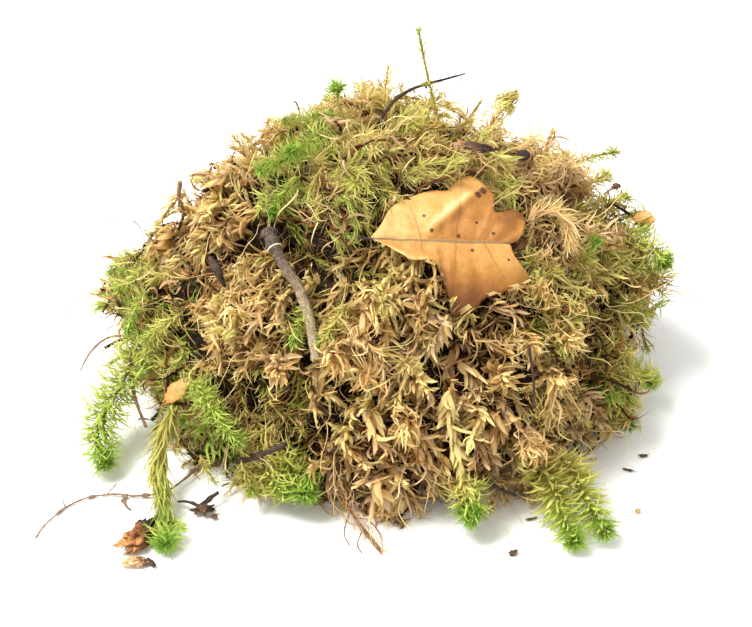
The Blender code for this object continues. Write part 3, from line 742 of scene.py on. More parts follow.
# Side shoots of those rods, broken off short.
SPURS = (
    ("twig_black_top", ((20, 31.5, 125.9), (20.6, 31.4, 124.2)), 0.5),
    ("twig_black_top", ((4, 25, 117), (1, 24, 119.5)), 0.35),
    ("root_zigzag", ((-103, -66, 0.9), (-100, -61, 1.5)), 0.3),
    ("root_zigzag", ((-118, -73, 0.8), (-120, -69, 1.4)), 0.3),
    ("root_zigzag", ((-97, -66.4, 1.4), (-95, -72, 0.9), (-93, -74, 0.8)), 0.6),
    ("root_zigzag", ((-95, -66.6, 1.6), (-97, -70, 1.0)), 0.7),
    ("root_fibre", ((-9, -81, 6), (-11, -88, 2.5), (-9, -93, 0.9)), 0.35),
    ("root_fibre", ((-7, -83, 5), (-2, -84, 5), (2, -87, 2), (3, -90, 0.9)), 0.35),
    ("root_fibre", ((-4, -87, 3), (-6, -93, 1.2), (-4, -97, 0.7)), 0.3),
    ("twig_dark_front", ((-42, -69, 25), (-41, -73, 21)), 0.45),
    ("twig_grey", ((-38.3, -25, 94.5), (-41.5, -27, 95.5)), 1.0),
)


def joined(name, meshes):
    """One mesh of several."""
    bm = bmesh.new()
    for mesh in meshes:
        bm.from_mesh(mesh)
    return finished(bm, name)


THICK = 1.5                # mm of radius from which a rod gets more sides and shorter steps
for name, skin, line, radii, rough, knots in RODS:
    thick = max(radii) > THICK
    parts = [rod(name, line, radii, rough, knots, sides=20 if thick else 8, step=0.5 if thick else 0.9)]
    parts += [rod(name + "_spur", spur, (radius, radius * 0.7), rough, sides=6)
              for owner, spur, radius in SPURS if owner == name]
    piece = new_object(name + "_rod", joined(name + "_rod", parts))
    piece.data.materials.clear()
    piece.data.materials.append(skin)
    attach(piece, "root")
    if name in frame["nodes"]:
        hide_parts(name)

# The moss under the oak leaf and under the grey twig is pressed down by them, so the tufts are told of both.
PRESSED_BY = bpy.data.collections.new("pressed_by")
for item in (oak_leaf, bpy.data.objects["twig_grey_rod"]):
    PRESSED_BY.objects.link(item)

# ---------------------------------------------------------------------------------------------------- tufts
# A tuft is a wad of shoots that grew side by side and were pulled up together. Its shoots lie over each other
# like combed wool, and between them one sees the brown, broken-down moss inside, painted near black both as
# its own dark colour and as painted shade in the gaps. One node tree lays three layers on the crown of the
# tuft's
# frame solid: old brown shoots, the full ones, and loose threads, with painted shade on the deeper shoots.
HEART = Vector((5, 16, 16)) * MM   # where the tufts' inner ends meet
THREAD = leaf_kind("thread", (20.0, 0.45, 0, 120, 10, 2.0, 0.2), (26.0, 0.4, 0, -90, 10, -3.0, 0.2),
                   (15.0, 0.5, 0, 200, 10, 1.0, 0.2), (18.0, 0.4, 0, 40, 8, 3.5, 0.2))

WANDER_LENGTH = 28 * MM    # from one swirl of the combing to the next
MOST_SHOOTS = 400000.0     # in a square metre, before their distance thins them
CROWN_SHARE = 0.25         # a face belongs to the crown when it looks this much away from the heart
UNDERSIDE = -0.6           # and isn't turned down more than this
LUMP_MIDDLE = 0.57         # the noise that neither swells a tuft nor sinks it
BLOTCH_EDGE = 0.12         # how far single shoots stray over the edge of a patch of one tone
LITTER_LENGTH = 6 * MM     # from one crumb of the litter to the next
TURNS = (-0.4, 0.4)        # radians that a shoot nods or rolls
TINTS = (-0.09, 0.09)      # tone from one shoot to another
FADES = (-0.14, 0.14)      # bleaching from one shoot to another

TUFT = new_tree("moss tuft", {
    "Shoots": "Collection", "Distance": "Float", "Size Low": "Float", "Size High": "Float",
    "Combed": "Vector", "Tangle": "Float", "Lift Low": "Float", "Lift High": "Float",
    "Depth Low": "Float", "Depth High": "Float", "Tone One": "Float", "Tone Two": "Float",
    "Share Of Two": "Float", "Patch": "Float", "Tip Green": "Float", "Heart": "Vector", "Stray": "Float",
    "Old Shoots": "Collection", "Old Distance": "Float", "Old Depth": "Float", "Old Tone": "Float",
    "Threads": "Collection", "Thread Distance": "Float", "Litter Depth": "Float", "Pressed By": "Collection",
    "Press": "Vector", "Lump": "Float", "Lump Length": "Float", "Bare Below": "Float", "Shade": "Float",
    "Seed": "Int"})
tree = TUFT
given = put(tree, "NodeGroupInput").node.outputs
place = put(tree, "GeometryNodeInputPosition")
outward = put(tree, "ShaderNodeVectorMath", put(tree, "ShaderNodeVectorMath", place, given["Heart"],
                                                operation="SUBTRACT"), operation="NORMALIZE")
normal = put(tree, "GeometryNodeInputNormal").node.outputs["True Normal"]
facing_out = put(tree, "ShaderNodeVectorMath", outward, normal, operation="DOT_PRODUCT").node.outputs["Value"]
underside = put(tree, "ShaderNodeSeparateXYZ", normal).node.outputs["Z"]
crown = put(tree, "ShaderNodeMath",
            put(tree, "ShaderNodeMath", facing_out, CROWN_SHARE, operation="GREATER_THAN"),
            put(tree, "ShaderNodeMath", underside, UNDERSIDE, operation="GREATER_THAN"), operation="MULTIPLY")
swell = put(tree, "ShaderNodeTexNoise", place, named={"Scale": given["Lump Length"], "Detail": 1.0})
clothed = put(tree, "ShaderNodeMath", swell, given["Bare Below"], operation="GREATER_THAN")
swell = put(tree, "ShaderNodeMath", put(tree, "ShaderNodeMath", swell, LUMP_MIDDLE, operation="SUBTRACT"),
            given["Lump"], operation="MULTIPLY")
whole = put(tree, "GeometryNodeSubdivideMesh", given["Geometry"], 1)
whole = put(tree, "GeometryNodeSetPosition", whole, named={
    "Offset": put(tree, "ShaderNodeVectorMath", outward, swell, operation="SCALE")})
crown = put(tree, "GeometryNodeSeparateGeometry", whole, crown, domain="FACE")
wander = put(tree, "ShaderNodeTexNoise", place, named={"Scale": 1 / WANDER_LENGTH, "Detail": 2.0})
wander = put(tree, "ShaderNodeVectorMath", wander.node.outputs["Color"], (0.5, 0.5, 0.5),
             operation="SUBTRACT")
patch = put(tree, "ShaderNodeTexNoise", place, named={"Scale": given["Patch"], "Detail": 1.0})
blotch = put(tree, "ShaderNodeMath", patch, put(tree, "FunctionNodeRandomValue", -BLOTCH_EDGE, BLOTCH_EDGE,
                                                named={"Seed": 51}), operation="ADD")
second = put(tree, "ShaderNodeMath", blotch, given["Share Of Two"], operation="LESS_THAN")
full_tone = put(tree, "ShaderNodeMix", second, given["Tone One"], given["Tone Two"])
old_low = put(tree, "ShaderNodeMath", given["Old Depth"], 0.6, operation="MULTIPLY")
LAYERS = (
    # shelf, distance, lowest and highest lift, least and greatest depth, smallest and largest, tone, dimming
    # (on the old shoots partly painted shade)
    (given["Old Shoots"], given["Old Distance"], -8.0, 12.0, old_low, given["Old Depth"], 0.9, 1.3,
     given["Old Tone"], 0.12),
    (given["Shoots"], given["Distance"], given["Lift Low"], given["Lift High"], given["Depth Low"],
     given["Depth High"], given["Size Low"], given["Size High"], full_tone, 0.0),
    (given["Threads"], given["Thread Distance"], 0.0, 50.0, -2.0 * MM, 3.0 * MM, 0.7, 1.2, 0.44, -0.15))
laid = []
for number, layer in enumerate(LAYERS):
    shelf, distance, lift_low, lift_high, depth_low, depth_high, small, large, tone, dim = layer
    chance = [put(tree, "FunctionNodeRandomValue", low, high, named={"Seed": 10 * number + 3 * draw})
              for draw, (low, high) in enumerate(((lift_low, lift_high), (0.0, 6.283), TURNS, TURNS,
                                                  (depth_low, depth_high), (small, large), TINTS,
                                                  FADES, (0.0, 1.0)))]
    lift, spin, nod, roll, depth, size, tint, fade, luck = chance
    spots = put(tree, "GeometryNodeDistributePointsOnFaces", crown, clothed if number == 1 else None, named={
        "Distance Min": distance, "Density Max": MOST_SHOOTS,
        "Seed": put(tree, "ShaderNodeMath", given["Seed"], 31.0 * number, operation="ADD")},
        distribute_method="POISSON").node.outputs
    up = spots["Normal"]
    combed = put(tree, "ShaderNodeVectorMath", wander, given["Tangle"], operation="SCALE")
    combed = put(tree, "ShaderNodeVectorMath", given["Combed"], combed, operation="ADD")
    rise = put(tree, "ShaderNodeVectorMath", combed, up, operation="DOT_PRODUCT").node.outputs["Value"]
    flat = put(tree, "ShaderNodeVectorMath", combed, put(tree, "ShaderNodeVectorMath", up, rise,
                                                         operation="SCALE"), operation="SUBTRACT")
    flat = put(tree, "ShaderNodeVectorMath", flat, operation="NORMALIZE")
    lift = put(tree, "ShaderNodeMath", lift, operation="RADIANS")
    level = put(tree, "ShaderNodeVectorMath", flat, put(tree, "ShaderNodeMath", lift, operation="COSINE"),
                operation="SCALE")
    steep = put(tree, "ShaderNodeVectorMath", up, put(tree, "ShaderNodeMath", lift, operation="SINE"),
                operation="SCALE")
    facing = put(tree, "FunctionNodeAlignRotationToVector", named={
        "Vector": put(tree, "ShaderNodeVectorMath", level, steep, operation="ADD")}, axis="Z")
    for axis, angle in (((0, 0, 1), spin), ((1, 0, 0), nod), ((0, 1, 0), roll)):
        facing = turned(tree, facing, axis, angle)
    sunk = put(tree, "ShaderNodeMath", depth, -1.0, operation="MULTIPLY")
    points = put(tree, "GeometryNodeSetPosition", spots["Points"], named={
        "Offset": put(tree, "ShaderNodeVectorMath", up, sunk, operation="SCALE")})
    items = put(tree, "GeometryNodeCollectionInfo", shelf, True, True)
    shoots = put(tree, "GeometryNodeInstanceOnPoints", points, named={
        "Instance": items, "Pick Instance": True, "Rotation": facing, "Scale": size,
        "Instance Index": put(tree, "FunctionNodeRandomValue", 0, 31, named={"Seed": 41}, data_type="INT")})
    # Painted shade: the deeper a shoot lies in the tuft, the less bleached and darker it is painted, for the
    # shade down there and in part for the older, browner moss.
    dim = put(tree, "ShaderNodeMath", put(
        tree, "ShaderNodeMapRange", depth, 2 * MM, 12 * MM, -0.12, 0.25), dim, operation="ADD")
    dim = put(tree, "ShaderNodeMath", dim, given["Shade"], operation="ADD")
    notes = {"tone": put(tree, "ShaderNodeMath", tone, tint, operation="ADD"),
             "dim": put(tree, "ShaderNodeMath", dim, fade, operation="ADD")}
    if number == 2:
        notes[LUCK] = luck
    for name, value in notes.items():
        shoots = put(tree, "GeometryNodeStoreNamedAttribute", shoots, named={"Name": name, "Value": value},
                     domain="INSTANCE")
    laid.append(shoots)

rough = put(tree, "ShaderNodeTexNoise", place, named={"Scale": 1 / LITTER_LENGTH, "Detail": 3.0})
sink = put(tree, "ShaderNodeMath", given["Litter Depth"], put(
    tree, "ShaderNodeMath", rough, 1.8, 0.1, operation="MULTIPLY_ADD"), operation="MULTIPLY")
reach = put(tree, "ShaderNodeVectorMath", place, given["Heart"], operation="DISTANCE").node.outputs["Value"]
sink = put(tree, "ShaderNodeMath", sink, put(tree, "ShaderNodeMath", reach, 0.5, operation="MULTIPLY"),
           operation="MINIMUM")
litter = put(tree, "GeometryNodeSetPosition", whole, named={"Offset": put(
    tree, "ShaderNodeVectorMath", outward, put(tree, "ShaderNodeMath", sink, -1.0, operation="MULTIPLY"),
    operation="SCALE")})
# The litter is the dark brown of rotted moss, dimmed further as painted shade for the gaps between the
# shoots.
for name, value in {LUCK: rough, ALONG: rough, "tone": 0.02, "dim": 0.5}.items():
    litter = put(tree, "GeometryNodeStoreNamedAttribute", litter, named={"Name": name, "Value": value})
whole = put(tree, "GeometryNodeJoinGeometry", *laid, litter)
presser = put(tree, "GeometryNodeCollectionInfo", given["Pressed By"])
presser = put(tree, "GeometryNodeRealizeInstances", presser)
tone, dim = (put(tree, "GeometryNodeInputNamedAttribute", name) for name in ("tone", "dim"))
ripe = put(tree, "ShaderNodeMath", tone, given["Tip Green"], operation="ADD")
put(tree, "NodeGroupOutput", finish_moss(tree, whole, tone, ripe, dim, given["Stray"], presser,
                                         given["Press"]))


def mixed(name, *looks):
    """A collection that offers the shoots of several looks, each as often as it is named."""
    shelf = bpy.data.collections.new(name)
    for number, look in enumerate(looks):
        for item in STOCK[look].objects:
            shelf.objects.link(bpy.data.objects.new(f"{name}_{number}_{item.name}", item.data))
    return shelf


def merged_copy(node, name):
    """A copy of a frame solid's mesh with its loose triangles joined."""
    bm = bmesh.new()
    bm.from_mesh(frame["nodes"][node].data)
    bmesh.ops.remove_doubles(bm, verts=bm.verts, dist=1e-6)
    return finished(bm, name)


DRY_SHOOTS = mixed("dry_shoots", "stringy", "stringy", "stringy", "fat")
FAT_SHOOTS = mixed("fat_shoots", "fat", "fat", "fat", "stringy")
FRIZZY_SHOOTS = mixed("frizzy_shoots", "curly", "curly", "stringy", "stringy")
OLIVE_SHOOTS = mixed("olive_shoots", "green", "green", "curly", "stringy")
COMBED_SHOOTS = mixed("combed_shoots", "combed", "combed", "combed", "green", "stringy")
BROWN, PINK, TAN, STRAW, OLIVE, LIME, GREEN = 0.24, 0.32, 0.4, 0.5, 0.62, 0.75, 0.84

# Each tuft's shoots, its two tones, how much is of the second, which way it is combed, its tangle, how many
# mm deeper its shoots lie than usual, how much less bleached they are, and its slot.
TUFT_LOOKS = {
    "tuft_crown_green": (COMBED_SHOOTS, LIME, OLIVE, 0.5, (0.3, -0.7, -0.2), 1.0, 0, -0.02, "moss_green"),
    "tuft_crown_straw": (COMBED_SHOOTS, STRAW, OLIVE, 0.5, (0.5, -0.3, 0.2), 1.2, 0, -0.05, "moss_straw"),
    "tuft_crown_back": (FRIZZY_SHOOTS, STRAW, OLIVE, 0.48, (-0.2, 0.6, 0.0), 1.3, 1.5, 0.0, "moss_golden"),
    "tuft_shoulder_golden": (DRY_SHOOTS, TAN, STRAW, 0.42, (-0.7, -0.3, -0.3), 1.3, 0.5, 0.06, "moss_golden"),
    "tuft_shoulder_pink": (FRIZZY_SHOOTS, PINK, STRAW, 0.5, (0.5, 0.1, -0.2), 1.5, -3, 0.04, "moss_tan"),
    "tuft_left_olive": (COMBED_SHOOTS, OLIVE, LIME, 0.55, (-0.9, -0.1, 0.2), 0.8, 3.5, -0.2, "moss_olive"),
    "tuft_left_green": (OLIVE_SHOOTS, STRAW, LIME, 0.54, (-0.5, -0.4, -0.6), 1.0, 4, 0.06, "moss_green"),
    "tuft_center_golden": (DRY_SHOOTS, TAN, STRAW, 0.46, (-0.8, -0.1, -0.3), 1.4, 0, 0.14, "moss_golden"),
    "tuft_leaf_bed": (FAT_SHOOTS, STRAW, TAN, 0.45, (-0.2, -0.5, -0.5), 1.3, 0, 0, "moss_straw"),
    "tuft_heart": (FAT_SHOOTS, STRAW, TAN, 0.45, (0.1, -0.3, -0.9), 1.0, 0, -0.08, "moss_straw"),
    "tuft_center_tan": (FAT_SHOOTS, TAN, BROWN, 0.46, (0.1, -0.2, -1.0), 0.9, 0, 0.04, "moss_tan"),
    "tuft_right_curly": (FRIZZY_SHOOTS, TAN, OLIVE, 0.46, (0.5, -0.3, -0.5), 1.4, 0, 0.08, "moss_golden"),
    "tuft_front_left": (OLIVE_SHOOTS, OLIVE, TAN, 0.45, (0.2, -0.4, -0.8), 1.2, 3, 0.04, "moss_olive"),
    "tuft_front_middle": (FAT_SHOOTS, TAN, BROWN, 0.52, (0.0, -0.6, -0.7), 1.2, 3, -0.1, "moss_brown"),
    "tuft_front_right": (FRIZZY_SHOOTS, PINK, STRAW, 0.54, (0.2, -0.3, -0.8), 1.5, -0.5, -0.08, "moss_straw"),
    "tuft_right_olive": (OLIVE_SHOOTS, OLIVE, TAN, 0.46, (0.6, 0.0, -0.4), 1.1, 1, 0.14, "moss_olive"),
    "tuft_right_green": (OLIVE_SHOOTS, OLIVE, GREEN, 0.46, (0.6, -0.3, -0.6), 1.1, 4, 0, "moss_green"),
    "tuft_back_left": (DRY_SHOOTS, TAN, OLIVE, 0.45, (-0.3, 0.5, -0.6), 1.4, 1, 0, "moss_golden"),
    "tuft_back_middle": (OLIVE_SHOOTS, OLIVE, TAN, 0.48, (0.1, 0.6, -0.6), 1.3, 1, 0, "moss_olive"),
    "tuft_back_right": (DRY_SHOOTS, TAN, STRAW, 0.45, (0.4, 0.5, -0.5), 1.4, 0, 0, "moss_tan"),
}
PRESS = leaf_matrix.to_3x3() @ Vector((0, 0, -1)) * MM
for seed, (node, look) in enumerate(TUFT_LOOKS.items()):
    shoots, tone_one, tone_two, share_of_two, combed, tangle, deeper, shade, slot = look
    mesh = grow(new_object(node + "_bed", merged_copy(node, node + "_bed")), TUFT,
                shoots=shoots, distance=6.7 * MM, size_low=0.75, size_high=1.1, combed=combed, tangle=tangle,
                lift_low=-4.0, lift_high=24.0, depth_low=(2.5 + deeper) * MM, depth_high=(8 + deeper) * MM,
                tone_one=tone_one, tone_two=tone_two, share_of_two=share_of_two, patch=1 / (26 * MM),
                tip_green=0.03, heart=HEART, stray=8 * MM, old_shoots=STOCK["brown"],
                old_distance=7.6 * MM, old_depth=12 * MM, old_tone=0.19, threads=THREAD,
                thread_distance=8 * MM, litter_depth=11 * MM, pressed_by=PRESSED_BY, press=PRESS,
                lump=20 * MM, lump_length=1 / (20 * MM), bare_below=0.4, shade=shade, seed=seed)
    piece = new_object(node[5:] + "_moss", mesh)
    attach(piece, "root")
    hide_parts(node)

# --------------------------------------------------------------------------------------------- single shoots
# Shoots that hang out of the heap keep their colour and their shape: dry and closed where they leave it,
# green and full at the growing end. Each grows along its own line.
SINGLE_LOOKS = {
    "arm": shoot_look(HAIR, 0.07, 1.6, 1.1, 78.0, 66.0, 380, 0.6, 0.8, -0.14),
    "bushy": shoot_look(HAIR, 0.075, 1.25, 0.85, 72.0, 60.0, 330, 0.62, 0.7, -0.3),
    "spray": shoot_look(HAIR, 0.09, 0.95, 0.8, 55.0, 50.0, 60, 0.6, 0.7, -0.2),
    "sprig": shoot_look(HAIR, 0.1, 0.75, 0.7, 60.0, 50.0, 70, 0.6, 0.5, -0.15),
    "thin": shoot_look(HAIR, 0.2, 0.7, 0.5, 50.0, 45.0, 30, 0.42, 0.5, -0.1),
    "trailing": shoot_look(WISP, 0.06, 1.0, 0.8, 15.0, 18.0, 10, 0.4, 0.8, 0.3),
    "rosette": shoot_look(NEEDLE, 0.7, 0.4, 0.5, 50.0, 70.0, 70, 0.92, 0.6, -0.25),
    "feather": shoot_look(NEEDLE, 0.28, 0.7, 0.45, 44.0, 36.0, 14, 0.45, 0.35, -0.25),
    "slim": shoot_look(NEEDLE, 0.13, 1.5, 1.05, 66.0, 60.0, 190, 0.68, 0.7, -0.3),
    "mop": shoot_look(HAIR, 0.06, 1.3, 1.1, 66.0, 70.0, 420, 0.85, 0.7, -0.3),
    "plump": shoot_look(BOAT, 0.55, 1.0, 0.85, 52.0, 48.0, 16, 0.7, 0.8, -0.2),
    "frizzy": shoot_look(CURL, 0.16, 0.9, 0.85, 60.0, 60.0, 130, 0.85, 0.5, -0.3),
    "fringe": shoot_look(THREAD, 0.22, 0.5, 0.4, 40.0, 30.0, 12, 0.4, 0.5, -0.1),
    "withered": shoot_look(WISP, 0.1, 0.62, 0.5, 42.0, 38.0, 30, 0.5, 0.5, -0.45),
}
# name, look, line through these points in mm, tone where it leaves the heap and at its end
SINGLE_SHOOTS = (
    ("shoot_left_arm", "arm", ((-91, -19, 37), (-100, -31, 26), (-106, -41, 18), (-107.5, -50, 11),
                               (-104, -55, 8)), 0.74, 0.88),
    ("shoot_front_left", "trailing", ((-76, -46, 32), (-81, -58, 20), (-80, -74, 11), (-78, -88, 7.5)),
     0.64, 0.88),
    ("shoot_front_left_head", "bushy", ((-78, -90, 8), (-77.5, -93, 7), (-77, -96, 6.5)), 0.8, 0.94),
    ("shoot_front_left_side", "feather", ((-77, -84, 8), (-74, -88, 8), (-71, -90, 7)), 0.76, 0.84),
    ("shoot_low_left", "sprig", ((-49, -66, 20), (-47.5, -71, 15), (-46, -75, 12)), 0.64, 0.8),
    ("shoot_low_left_outer", "thin", ((-66, -62, 18), (-63.5, -66, 13), (-61, -69, 10)), 0.62, 0.76),
    ("shoot_front_middle", "plump", ((28, -64, 54), (29, -71, 42), (32, -77, 28), (35, -82, 16)), 0.5, 0.7),
    ("shoot_front_middle_head", "mop", ((33, -78, 22), (35, -83, 17), (36, -87.5, 11.5)), 0.7, 0.92),
    ("shoot_front_right_inner", "slim", ((61, -65, 19), (67, -76, 13), (71.5, -87, 9), (74.5, -95.5, 7)),
     0.68, 0.88),
    ("shoot_front_right_outer", "slim", ((71, -62, 18), (78, -74, 13), (83, -84, 9), (86, -91.5, 7)),
     0.68, 0.88),
    ("shoot_low_head", "mop", ((-36, -62, 22), (-30, -70, 17), (-25, -76, 13)), 0.7, 0.9),
    ("shoot_low_head_side", "bushy", ((-42, -64, 20), (-37, -71, 15), (-33.5, -75, 11)), 0.66, 0.84),
    ("shoot_spray", "spray", ((-69, -50, 46), (-62, -58, 42), (-56, -65, 36), (-50, -69, 31)), 0.8, 0.84),
    ("shoot_right_star", "bushy", ((103, 14, 64), (112, 12, 62), (117, 10, 57)), 0.7, 0.9),
    ("shoot_right_low", "bushy", ((99, -14, 22), (108, -13, 17), (113, -12, 13)), 0.7, 0.82),
    ("shoot_right_ridge_near", "spray", ((94, 16, 62), (102, 17, 67), (109, 17, 68)), 0.64, 0.8),
    ("shoot_right_ridge_middle", "spray", ((87, 22, 67), (94, 25, 74), (101, 27, 77)), 0.6, 0.76),
    ("shoot_right_ridge_far", "spray", ((80, 28, 72), (87, 31, 79), (94, 34, 82)), 0.55, 0.7),
    ("shoot_back_right", "sprig", ((73, 38, 80), (85, 41, 85), (97, 42, 88)), 0.62, 0.76),
    ("shoot_top_thin", "thin", ((25, 22, 112), (22, 28, 125), (19, 31, 138), (17, 33, 149)), 0.62, 0.76),
    ("shoot_top_star", "rosette", ((-10, 19, 112), (-12.5, 24, 120), (-14, 26, 126.5)), 0.5, 0.86),
    ("shoot_ridge_pale", "feather", ((4.6, 40, 112), (5.3, 40.5, 120.5), (5.9, 41, 127)), 0.54, 0.62),
    ("shoot_shoulder_far", "feather", ((-49.2, 34, 95), (-44.4, 35, 99.4), (-37.9, 36, 104.3),
                                       (-32, 37, 108.5)), 0.42, 0.5),
    ("shoot_shoulder_fork", "feather", ((-45, 35, 99), (-42, 36, 103), (-41.5, 37, 107)), 0.42, 0.5),
    ("shoot_shoulder_curl", "feather", ((-50, 30, 95), (-53, 30, 100), (-55, 30, 103)), 0.48, 0.58),
    ("shoot_top_pale", "frizzy", ((40, 28, 98), (47, 33, 108), (53, 37, 115)), 0.5, 0.62),
    ("shoot_crown_left", "spray", ((-26, 12, 108), (-34, 8, 108), (-42, 3, 105)), 0.78, 0.9),
    ("shoot_left_edge", "sprig", ((-88, -8, 56), (-93, -14, 52), (-96, -20, 46)), 0.78, 0.9),
    ("shoot_crown_middle", "sprig", ((-16, 14, 113), (-24, 10, 114), (-31, 4, 112)), 0.8, 0.92),
    ("shoot_crown_low", "sprig", ((-28, 0, 104), (-34, -6, 100), (-38, -12, 95)), 0.78, 0.92),
    ("shoot_crown_far", "sprig", ((-20, 20, 115), (-26, 24, 116), (-33, 24, 114)), 0.7, 0.8),
    ("shoot_twig_left", "sprig", ((-24, -46, 79), (-27, -52, 74), (-29, -56, 69)), 0.74, 0.86),
    ("shoot_twig_right", "sprig", ((-9, -47, 80), (-14, -53, 75), (-18, -57, 70)), 0.66, 0.78),
    ("shoot_right_inner", "sprig", ((78.5, -18, 69), (81, -14, 75), (84.5, -9, 80)), 0.74, 0.94),
    ("frond_withered", "withered", ((58, -14, 93), (63, -13.5, 97.5), (68.5, -13, 96.5), (73, -14, 91),
                                    (75, -16, 85)), 0.36, 0.42),
    ("rootlets_front", "fringe", ((-15, -74, 18), (-9, -83, 10), (-2, -90, 5), (3, -96, 2)), 0.27, 0.31),
    ("shoot_left_brow", "sprig", ((-86, 0, 64), (-93, -4, 61), (-100, -7, 56)), 0.68, 0.78),
    ("shoot_left_brow_far", "sprig", ((-92, 10, 60), (-99, 10, 58), (-105, 8, 54)), 0.68, 0.8),
    ("shoot_left_hollow", "sprig", ((-74, -25, 58), (-81, -26, 53), (-87, -26, 46)), 0.66, 0.78),
    ("shoot_left_hollow_low", "sprig", ((-80, -20, 48), (-86, -25, 44), (-90, -29, 38)), 0.62, 0.74),
)
for seed, (name, look, line, low, high) in enumerate(SINGLE_SHOOTS):
    mesh = grow(stem_line(name + "_line", line), SHOOT, tone_low=low, tone_high=high,
                head_shade=0.42, stray=3 * MM, seed=40 + seed, **SINGLE_LOOKS[look])
    piece = new_object(name + "_moss", mesh)
    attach(piece, "root")
    if name in frame["nodes"]:
        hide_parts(name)

# Dried heads: where a shoot's growing end dried it is a plump pale mop, its leaves curved in over its middle.
# They nod on the steep front of the heap, and are one piece here.
DRY_HEAD_PLACES = ((6, -42, 80), (-4, -61, 61), (56, -49, 64), (66, -53, 51), (57, -71, 36), (12, -58, 62),
                   (47, -57, 55), (-14, -58, 65), (12, -74, 45), (-34, -58, 61), (71, -43, 62),
                   (-48, -42, 74))
heads = []
for seed, place in enumerate(DRY_HEAD_PLACES):
    outward = (Vector(place) - HEART / MM).normalized()
    nod = Vector((0.25 * math.sin(3.1 * seed), -0.3, -0.55 - 0.3 * math.cos(1.7 * seed)))
    line = [Vector(place) - outward * 6, Vector(place), Vector(place) + (outward + nod).normalized() * 4]
    tone = 0.46 + 0.05 * math.cos(2.4 * seed)
    look = shoot_look(STRAND if seed % 3 else BOAT, 0.42, 0.9, 0.9, 70.0, 74.0, 22,
                      0.8 + 0.12 * math.sin(2 * seed), 0.7, -0.14)
    heads.append(grow(stem_line("dry_head_line", line), SHOOT, tone_low=tone - 0.05, tone_high=tone,
                      head_shade=0.06, stray=5 * MM, seed=90 + seed, **look))
piece = new_object("dry_heads_moss", joined("dry_heads_moss", heads))
piece.data.materials.clear()
piece.data.materials.append(moss)
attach(piece, "root")

# --------------------------------------------------------------------------------------- bark, bud and crumbs
# Rotten bark breaks into fibrous flakes, dark outside and red brown inside. Some fell out on the table, and
# some hang in the crown. Each is a torn lump with short fibres on it.
TORN = (0.6, 2.2, 5)       # how rough the tears are, how much finer each next one is, and how many
FINE_LUMPS_FROM = 4        # mm of half length from which a lump gets more faces
LOWEST_LUMP = 0.25         # mm over the table
LOWEST_FIBRE = 0.5
FIBRE_TAPER = (0.09, 0.07, 0.04)   # radii as shares of the fibre's length


def torn_lump(name, middle, half, turn, tilt, tear, fibres=0, fibre_length=4.0, seed=0):
    """A lump in mm, torn at its rim, with straight fibres standing out of it."""
    bm = bmesh.new()
    bmesh.ops.create_icosphere(bm, subdivisions=5 if half[0] > FINE_LUMPS_FROM else 3, radius=1)
    for vert in bm.verts:
        out = vert.co.copy()
        coarse = noise.fractal(out * 1.7 + Vector((seed, 0, 0)), *TORN)
        vert.co = out * (0.8 + tear * coarse)
        vert.co.z *= 0.75 + 0.5 * abs(noise.noise(out * 3 + Vector((0, seed, 0))))
    bm.transform(Matrix.Diagonal((*half, 1)))
    place = (Matrix.Translation(middle) @ Matrix.Rotation(math.radians(turn), 4, "Z")
             @ Matrix.Rotation(math.radians(tilt), 4, "X"))
    bm.transform(place)
    grain = bm.verts.layers.float_vector.new("grain")
    for vert in bm.verts:
        vert[grain] = place.inverted() @ vert.co
        vert.co.z = max(vert.co.z, LOWEST_LUMP)
    bm.transform(Matrix.Scale(MM, 4))
    parts = [finished(bm, name)]
    for number in range(fibres):
        angle = number * DIVERGENCE
        level = 0.8 * (1 - 2 * (number + 0.5) / fibres)
        out = Vector((math.cos(angle) * math.cos(level), math.sin(angle) * math.cos(level), math.sin(level)))
        start = place @ Vector([o * h * 0.7 for o, h in zip(out, half)])
        sway = Vector([noise.noise(start * 3.1 + Vector((seed, 9.3 * axis, 0))) for axis in range(3)])
        reach = (place.to_3x3() @ out + sway * 0.8).normalized() * fibre_length * (0.55 + 0.45 * abs(sway.x))
        tip = start + reach
        tip.z = max(tip.z, LOWEST_FIBRE)
        bent = start.lerp(tip, 0.5) + sway * 0.5
        bent.z = max(bent.z, LOWEST_FIBRE)
        radii = [fibre_length * share for share in FIBRE_TAPER]
        parts.append(rod(name, (start, bent, tip), radii, 0.3, sides=5))
    return joined(name, parts)


# Bark rot: wood turned to red brown crumbs and threads under a nearly black skin, quite matt.
def rotten(name, dark, middle, pale):
    mat, tree = new_skin(name)
    grain = put(tree, "ShaderNodeAttribute", attribute_name="grain").node.outputs["Vector"]
    broad = put(tree, "ShaderNodeTexNoise", grain, named={"Scale": 1 / 4.0, "Detail": 3.0})
    crumb = put(tree, "ShaderNodeTexNoise", grain, named={"Scale": 1.4, "Detail": 5.0, "Roughness": 0.75})
    mixed_height = put(tree, "ShaderNodeMix", 0.5, broad, crumb)
    along_it = put(tree, "ShaderNodeSeparateXYZ", grain)
    skin_end = put(tree, "ShaderNodeMapRange", along_it, -7.0, 7.0, 0.16, -0.24)
    mixed_height = put(tree, "ShaderNodeMath", mixed_height, skin_end, operation="ADD")
    colour = put(tree, "ShaderNodeValToRGB", mixed_height, stops=((0.36, dark), (0.5, middle), (0.64, pale)))
    relief = put(tree, "ShaderNodeBump", named={"Strength": 1.0, "Distance": 0.6 * MM, "Height": crumb})
    coat(tree, Roughness=0.9, Base_Color=colour, Normal=relief)
    return mat


